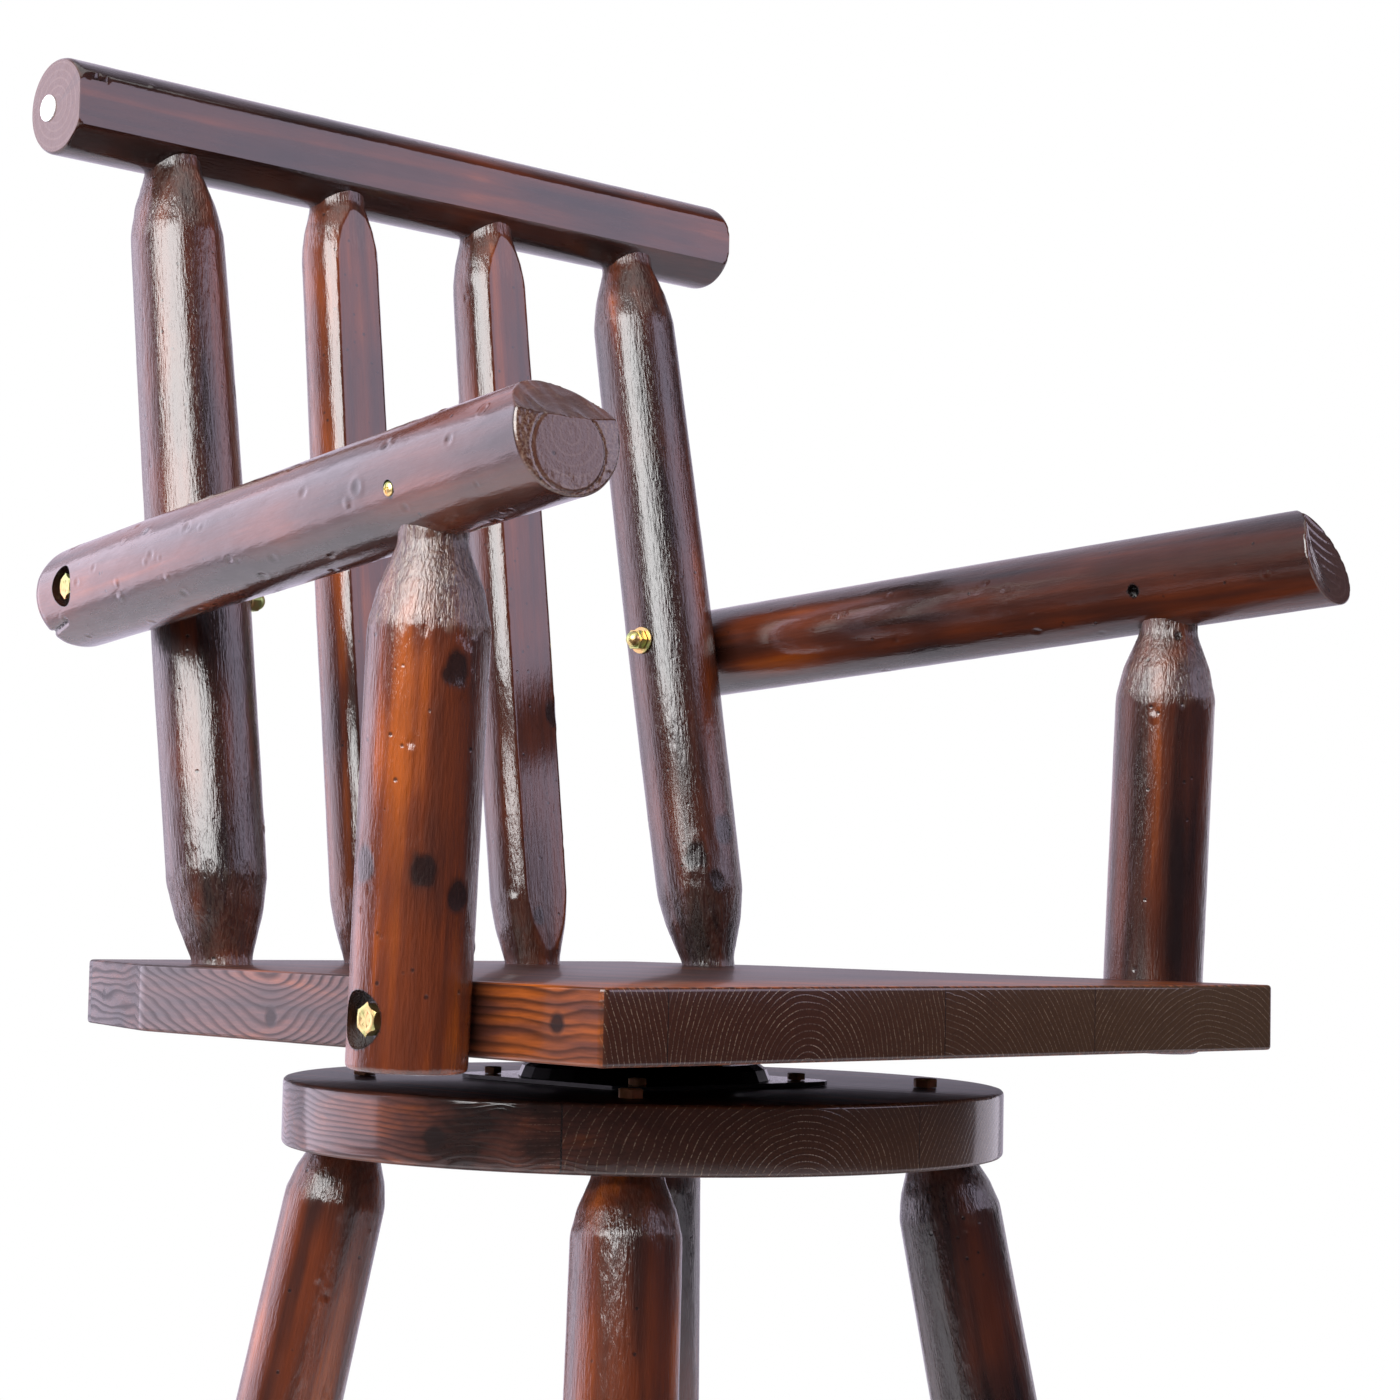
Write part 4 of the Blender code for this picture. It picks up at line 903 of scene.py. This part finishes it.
# Legs: from the floor up to the disc, each out along both X and Y
legLog = {
    "start": (0.2202, 0.2202, -0.0262),
    "end": (0.1253, 0.1253, 0.6519),
    "radii": (0.0338, 0.031),
    "swell": 0.001,
    "startRows": ((0, 0.0338), (0.001, 0.0338)),
    "endRows": ((0, 0.021), (0.0345, 0.021), (0.0518, 0.0282), (0.066, 0.0316)),
    "hewnEnds": ("end",),
    "facets": 4.0,
    # The legs' warmth is partly painted light: the front right leg, on the shaded side, is made darker, and
    # the back left and front left legs lighter for the sheen they catch
    "front_left": {"seed": 131, "warmth": 0.05, "knots": ((0.46, -5, 0.008),)},
    "front_right": {"seed": 138, "warmth": -0.11, "knots": ((0.4, 30, 0.009),)},
    "back_left": {"seed": 145, "warmth": 0.07, "knots": ((0.3, 10, 0.009),)},
    "back_right": {"seed": 152, "warmth": -0.02, "knots": ((0.25, 20, 0.009),)},
}
for endName, endSign in endSigns.items():
    for sideName, sideSign in sideSigns.items():
        place = f"{endName}_{sideName}"
        makeLog(f"leg_{place}", "base", {**legLog, **legLog[place]}, (sideSign, endSign))
print("legs made")

# Rungs: level rods between the legs
rungRows = ((0, 0.013), (0.0261, 0.013), (0.0392, 0.0186), (0.05, 0.0212))
rungLog = {
    "radii": (0.0205, 0.0205),
    "swell": 0.0015,
    "startRows": rungRows,
    "endRows": rungRows,
    "hewnEnds": ("start", "end"),
    "facing": (0, 0, 1),
    "pits": 0.5,
    "front": {"start": (-0.1716, -0.1816, 0.25), "end": (0.1716, -0.1816, 0.25), "seed": 171},
    "back": {"start": (-0.1716, 0.1816, 0.25), "end": (0.1716, 0.1816, 0.25), "seed": 178},
    "left": {"start": (-0.1732, -0.1634, 0.31), "end": (-0.1732, 0.1634, 0.31), "seed": 185},
    "right": {"start": (0.1732, -0.1634, 0.31), "end": (0.1732, 0.1634, 0.31), "seed": 192},
}
for place in ("front", "back", "left", "right"):
    makeLog(f"rung_{place}", "base", {**rungLog, **rungLog[place]})
print("rungs made")

# Seat board: a rectangle cut to its outline by slanting planes, then all its edges eased
seatBoard = {
    "half": (0.278, 0.272),
    "height": (0.69, 0.73),
    "sideAt": (0.278, -0.272),
    "cornerAt": (0.266, 0.157),
    "backAt": (0.231, 0.272),
    "cornerEase": 0.0045,
    "edgeEase": 0.0022,
}


def easeEdges(bm, edges, offset, segments=3):
    bmesh.ops.bevel(
        bm, geom=edges, offset=offset, segments=segments, affect="EDGES", profile=0.5, material=-1
    )


def sharpEdges(bm):
    return [edge for edge in bm.edges if edge.calc_face_angle(0) > math.radians(60)]


def makeSeatBoard():
    board = seatBoard
    halfX, halfY = board["half"]
    low, high = board["height"]
    bm = bmesh.new()
    bmesh.ops.create_cube(bm, size=1)
    bmesh.ops.scale(bm, verts=bm.verts, vec=(2 * halfX, 2 * halfY, high - low))
    bmesh.ops.translate(bm, verts=bm.verts, vec=(0, 0, (low + high) / 2))
    for first, second in ((board["sideAt"], board["cornerAt"]), (board["cornerAt"], board["backAt"])):
        alongX, alongY = second[0] - first[0], second[1] - first[1]
        for sideSign in sideSigns.values():
            bmesh.ops.bisect_plane(
                bm, geom=list(bm.verts) + list(bm.edges) + list(bm.faces), dist=1e-6,
                plane_co=(sideSign * first[0], first[1], 0), plane_no=(sideSign * alongY, -alongX, 0),
                clear_outer=True,
            )
            rim = [edge for edge in bm.edges if edge.is_boundary]
            bmesh.ops.holes_fill(bm, edges=rim, sides=0)
    uprights = [edge for edge in bm.edges if abs(edge.verts[0].co.z - edge.verts[1].co.z) > 0.01]
    easeEdges(bm, uprights, board["cornerEase"], 4)
    easeEdges(bm, sharpEdges(bm), board["edgeEase"])
    addPiece("seat_board_fir", bm, seatFir, "seat", ["seat_board"], 30)


# Base disc: turned round, its edges eased
baseDisc = {"radius": 0.222, "height": (0.6225, 0.6625), "around": 192, "edgeEase": 0.0026}


# A round bar along Z whose middle is at a height, or with few segments a prism
def addBar(bm, segments, radius, farRadius, length, middle):
    made = bmesh.ops.create_cone(
        bm, cap_ends=True, segments=segments, radius1=radius, radius2=farRadius, depth=length
    )["verts"]
    bmesh.ops.translate(bm, verts=made, vec=(0, 0, middle))


def makeBaseDisc():
    disc = baseDisc
    low, high = disc["height"]
    bm = bmesh.new()
    addBar(bm, disc["around"], disc["radius"], disc["radius"], high - low, (low + high) / 2)
    easeEdges(bm, sharpEdges(bm), disc["edgeEase"])
    addPiece("base_disc_fir", bm, discFir, "base", ["base_disc"], 30)


makeSeatBoard()
makeBaseDisc()
print("boards made")

# Fasteners, each along its own Z, which points into the wood. Places are those on the right, or at
# the back right. A hex is the distance across its flats and its height.
armBoltInto = (-0.9938, -0.1107, 0.0047)
fasteners = {
    "leg_bolt": {
        "at": (0.123, 0.123, 0.6628), "into": (0, 0, -1), "facing": (-0.9, -0.4, 0),
        "hex": (0.013, 0.0053), "shank": (0.004, 0.07),
    },
    "swivel_bolt": {
        "at": (0.0665, 0.0665, 0.6656), "into": (0, 0, -1), "facing": (-0.9, -0.4, 0),
        "hex": (0.01, 0.004), "shank": (0.003, 0.035),
    },
    "arm_bolt": {
        "at": (0.2861, 0.2115, 0.9586), "into": armBoltInto, "facing": (0.25, 0.45, 0.9),
        "hex": (0.013, 0.0053), "shank": (0.004, 0.11), "collar": 0.0032,
    },
    "arm_post_screw": {
        "at": (0.3289, -0.1531, 0.71), "into": (-0.9996, -0.028, 0), "facing": (0.25, 0.45, 0.9),
        "hex": (0.0145, 0.006), "shank": (0.004, 0.05),
    },
    "arm_cap_nut": {
        "at": (0.1687, 0.1985, 0.9592), "into": armBoltInto, "facing": (0, 0, 1),
        "hex": (0.013, 0.0065), "domeRadius": 0.0059, "domeSink": 0.0006,
    },
    "arm_bolt_washer": {
        "at": (0.1709, 0.1987, 0.9591), "into": armBoltInto, "facing": (0, 0, 1),
        "radii": (0.0045, 0.0095), "thick": 0.0016,
    },
    "arm_screw": {
        "facing": (0.4, 0, 0.9), "head": (0.004, 0.0022), "shank": (0.0022, 0.045),
        "crossHalfWidth": 0.0005, "crossReach": 0.0025,
        "left": {"at": (-0.3369, -0.1633, 0.982), "into": (0.9939, -0.1103, 0.0094)},
        "right": {"at": (0.2827, -0.1608, 0.9818), "into": (0.9939, 0.1103, -0.0094)},
    },
    "hexSteepness": {"head": 0.36, "nut": 0.45},
    "hexRound": 0.46,
    "hexCuts": 9,
    "topRings": 6,
    "topDish": (0.0004, 0.36),
}


def addFastener(name, ending, bm, body, place, signs, finish=yellowZinc, slotName="yellow_zinc", sharp=30):
    matrix = placing(mirrored(place["at"], signs), mirrored(place["into"], signs), place["facing"])
    bmesh.ops.transform(bm, matrix=matrix, verts=bm.verts)
    addPiece(f"{name}_{ending}", bm, finish, body, [name], sharp)


def addHexagon(bm, across, height, middle):
    corner = across / math.sqrt(3)
    addBar(bm, 6, corner, corner, height, middle)
    bmesh.ops.subdivide_edges(bm, edges=bm.edges, cuts=fasteners["hexCuts"], use_grid_fill=True)
    return corner


# How far a hexagon's end is turned down at each point, for a cone of the given steepness
def turnedDown(vert, across, kind):
    outside = math.hypot(vert.co.x, vert.co.y) - across * fasteners["hexRound"]
    return fasteners["hexSteepness"][kind] * max(0, outside)


def hexPiece(name, body, fastener, signs, finish=yellowZinc):
    across, height = fastener["hex"]
    radius, length = fastener["shank"]
    rings, (dish, dishReach) = fasteners["topRings"], fasteners["topDish"]
    bm = bmesh.new()
    corner = addHexagon(bm, across, height, -height / 2)
    for _ in range(rings):
        ends = [face for face in bm.faces if len(face.verts) > 6]
        top = [face for face in ends if face.calc_center_median().z < -height + 1e-6]
        bmesh.ops.inset_region(bm, faces=top, thickness=corner * 0.6 / rings)
    bmesh.ops.poke(bm, faces=[face for face in bm.faces if len(face.verts) > 6])
    for vert in bm.verts:
        outward = math.hypot(vert.co.x, vert.co.y) / (across * dishReach)
        isTop = vert.co.z < -height + 1e-6
        vert.co.z = max(vert.co.z, -height + turnedDown(vert, across, "head"))
        if isTop:
            vert.co.z += dish * (1 - smoothStep(0.75, 1.0, outward))
    collar = fastener.get("collar", 0)
    bmesh.ops.translate(bm, verts=bm.verts, vec=(0, 0, -collar))
    addBar(bm, 24, radius, radius * 0.9, length, length / 2)
    if collar:
        addBar(bm, 48, corner * 1.02, corner * 1.02, collar - 0.0001, -collar / 2)
    addFastener(name, "zinc", bm, body, fastener, signs, finish, sharp=25)


# Turned from a chain of points (across, along) that starts and ends on the axis, or is closed
def turnProfile(bm, profile, steps=48):
    chain = [bm.verts.new((across, 0, along)) for across, along in profile]
    edges = [bm.edges.new(pair) for pair in zip(chain, chain[1:])]
    bmesh.ops.spin(
        bm, geom=chain + edges, cent=(0, 0, 0), axis=(0, 0, 1), dvec=(0, 0, 0), angle=2 * math.pi,
        steps=steps, use_merge=True, use_duplicate=False,
    )
    bmesh.ops.remove_doubles(bm, verts=bm.verts, dist=1e-6)


# A hexagon with a dome on it
def makeCapNut(name, sideSign):
    nut = fasteners["arm_cap_nut"]
    across, height = nut["hex"]
    dome, domeFoot = nut["domeRadius"], height - nut["domeSink"]
    bm = bmesh.new()
    addHexagon(bm, across, height, height / 2)
    for vert in bm.verts:
        down = turnedDown(vert, across, "nut")
        vert.co.z = min(max(vert.co.z, down), height - down)
    turns = [math.radians(5 * step) for step in range(18)]
    arc = [(dome * math.cos(turn), domeFoot + dome * math.sin(turn)) for turn in turns]
    turnProfile(bm, [(0, height - 0.001), (dome, height - 0.001)] + arc + [(0, domeFoot + dome)])
    addFastener(name, "zinc", bm, "seat", nut, (sideSign, 1))


def makeWasher(name, sideSign):
    washer = fasteners["arm_bolt_washer"]
    (inner, outer), thick = washer["radii"], washer["thick"]
    bm = bmesh.new()
    turnProfile(bm, [
        (inner, 0.0002), (inner + 0.0002, 0), (outer - 0.0003, 0), (outer, 0.0004), (outer, thick - 0.0003),
        (outer - 0.0003, thick), (inner + 0.0002, thick), (inner, thick - 0.0002), (inner, 0.0002),
    ])
    addFastener(name, "zinc", bm, "seat", washer, (sideSign, 1))


# A round head with a cross recess
def makeArmScrew(name, sideName, *finish):
    screw = fasteners["arm_screw"]
    radius, height = screw["head"]
    bm = bmesh.new()
    turns = [math.radians(6 * step) for step in range(1, 16)]
    rise = [(radius * math.sin(turn), -height * math.cos(turn)) for turn in turns]
    turnProfile(bm, [(0, -height)] + rise + [(0, 0)], 64)
    for vert in bm.verts:
        inCross = min(abs(vert.co.x), abs(vert.co.y)) < screw["crossHalfWidth"]
        if vert.co.z < 0 and inCross and math.hypot(vert.co.x, vert.co.y) < screw["crossReach"]:
            vert.co.z += height * 0.45
    shankRadius, shankLength = screw["shank"]
    addBar(bm, 24, shankRadius, shankRadius * 0.9, shankLength, shankLength / 2)
    addFastener(name, "steel", bm, "seat", {**screw, **screw[sideName]}, (1, 1), *finish)


for endName, endSign in endSigns.items():
    for sideName, sideSign in sideSigns.items():
        for kind in ("leg_bolt", "swivel_bolt"):
            name = f"{kind}_{endName}_{sideName}"
            hexPiece(name, "base", fasteners[kind], (sideSign, endSign), discZinc)
# The left arm's screw is yellow zinc; the right one is black steel as painted shade, standing for the
# shadow deep in its hole
screwFinishAndShade = {"left": (yellowZinc, "yellow_zinc"), "right": (blackSteel, "black_steel")}
for sideName, sideSign in sideSigns.items():
    for kind in ("arm_bolt", "arm_post_screw"):
        hexPiece(f"{kind}_{sideName}", "seat", fasteners[kind], (sideSign, 1))
    makeCapNut(f"arm_cap_nut_{sideName}", sideSign)
    makeWasher(f"arm_bolt_washer_{sideName}", sideSign)
    makeArmScrew(f"arm_screw_{sideName}", sideName, *screwFinishAndShade[sideName])
print("fasteners made")


# The filler in the rail's end, and the swivel with its screws, keep their CAD shapes
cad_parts["rail_end_plug"].data.materials[0] = whiteFiller
for name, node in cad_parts.items():
    if name.startswith(("swivel_", "ball_", "seat_screw")) and not name.startswith("swivel_bolt"):
        node.data.materials[0] = blackSteel
print("frame dressed")


# Floor, light and camera

studio = {
    "floorRadius": 2.4,
    "floor": "#f6f6f6",
    "floorRoughness": 0.9,
    "aim": (0, 0, 0.95),
    "lamps": {
        "leftFront": {"at": (-1.45, -0.4, 1.72), "size": (1.72, 1.35), "power": 69, "tint": "#ffffff"},
        "rightFront": {"at": (1.3, -1.72, 1.85), "size": (1.9, 1.4), "power": 18, "tint": "#efe4ff"},
        "leftBack": {"at": (-1.1, 1.9, 1.2), "size": (1.7, 2.1), "power": 19, "tint": "#f8ecff"},
        "rightSide": {"at": (2.2, 0.15, 0.75), "size": (1.00, 1.4), "power": 4.5, "tint": "#f8f0ff"},
        "overhead": {"at": (-0.2, -0.3, 2.9), "size": (1.8, 1.8), "power": 12, "tint": "#ffffff"},
    },
}


def softBox(name, light):
    lamp = bpy.data.lights.new(name, "AREA")
    lamp.shape = "RECTANGLE"
    lamp.size, lamp.size_y = light["size"]
    lamp.energy = light["power"]
    lamp.color = linear(light["tint"])[:3]
    holder = addObject(name, lamp)
    holder.location = light["at"]
    holder.visible_camera = False
    toward = Vector(studio["aim"]) - Vector(light["at"])
    holder.rotation_euler = toward.to_track_quat("-Z", "Y").to_euler()


for name, light in studio["lamps"].items():
    softBox(name, light)

# The floor is matt white
floorPaint, _, floorShader = newMaterial("studioFloor")
setInputs(floorShader, {"Base Color": linear(studio["floor"]), "Roughness": studio["floorRoughness"]})
bm = bmesh.new()
bmesh.ops.create_circle(bm, cap_ends=True, segments=96, radius=studio["floorRadius"])
floor = addObject("floor", meshFrom("floor", bm, floorPaint))

# White all round, and a painted cove that the camera looks through: the varnish mirrors its
# white behind the stool and its dark grey in front
world = bpy.data.worlds.new("studioWhite")
bpy.context.scene.world = world
world.use_nodes = True
world.node_tree.nodes["Background"].inputs["Color"].default_value = (1, 1, 1, 1)

coveShape = {
    "radius": 3.4, "centre": (0, 0, 0.9), "open": (0.12, 0.985, 0.12), "tint": "#ece2f8",
    "whiteFrom": 0.8, "dimFrom": 0.25, "dim": 0.06,
}


def makeCove(shape):
    paint, tree, _ = newMaterial("paintedCove")
    tree.nodes.clear()
    place = addNode(tree, "ShaderNodeTexCoord").outputs["Object"]
    place = vectorMath(tree, "SUBTRACT", place, shape["centre"])
    towardOpen = vectorMath(tree, "DOT_PRODUCT", place, shape["open"])
    dimFrom, whiteFrom = (shape["radius"] * shape[key] for key in ("dimFrom", "whiteFrom"))
    glow = remap(tree, towardOpen, dimFrom, whiteFrom, shape["dim"], 1.0)
    inputs = {"Color": linear(shape["tint"]), "Strength": glow}
    emission = addNode(tree, "ShaderNodeEmission", inputs).outputs[0]
    addNode(tree, "ShaderNodeOutputMaterial", {"Surface": emission})
    bm = bmesh.new()
    bmesh.ops.create_uvsphere(bm, u_segments=96, v_segments=48, radius=shape["radius"])
    bmesh.ops.translate(bm, verts=bm.verts, vec=shape["centre"])
    sphere = addObject("paintedCove", meshFrom("paintedCove", bm, paint))
    sphere.data.shade_smooth()
    sphere.visible_camera = False
    sphere.visible_shadow = False
    return sphere


cove = makeCove(coveShape)

photoCamera = {
    "at": (-1.30739, -1.42471, 0.77089),
    "heading": 0.757864,
    "tilt": 0.066678,
    "roll": 0.020609,
    "lens": 79.714,
}


def makeCamera(view):
    data = bpy.data.cameras.new("photoCamera")
    data.lens = view["lens"]
    data.sensor_width = 36
    camera = addObject("photoCamera", data)
    heading = Matrix.Rotation(-view["heading"], 4, "Z")
    tilt = Matrix.Rotation(math.pi / 2 + view["tilt"], 4, "X")
    roll = Matrix.Rotation(view["roll"], 4, "Z")
    camera.matrix_world = Matrix.Translation(view["at"]) @ heading @ tilt @ roll
    bpy.context.scene.camera = camera


makeCamera(photoCamera)
bpy.context.scene.view_settings.view_transform = "Standard"
print("studio made")
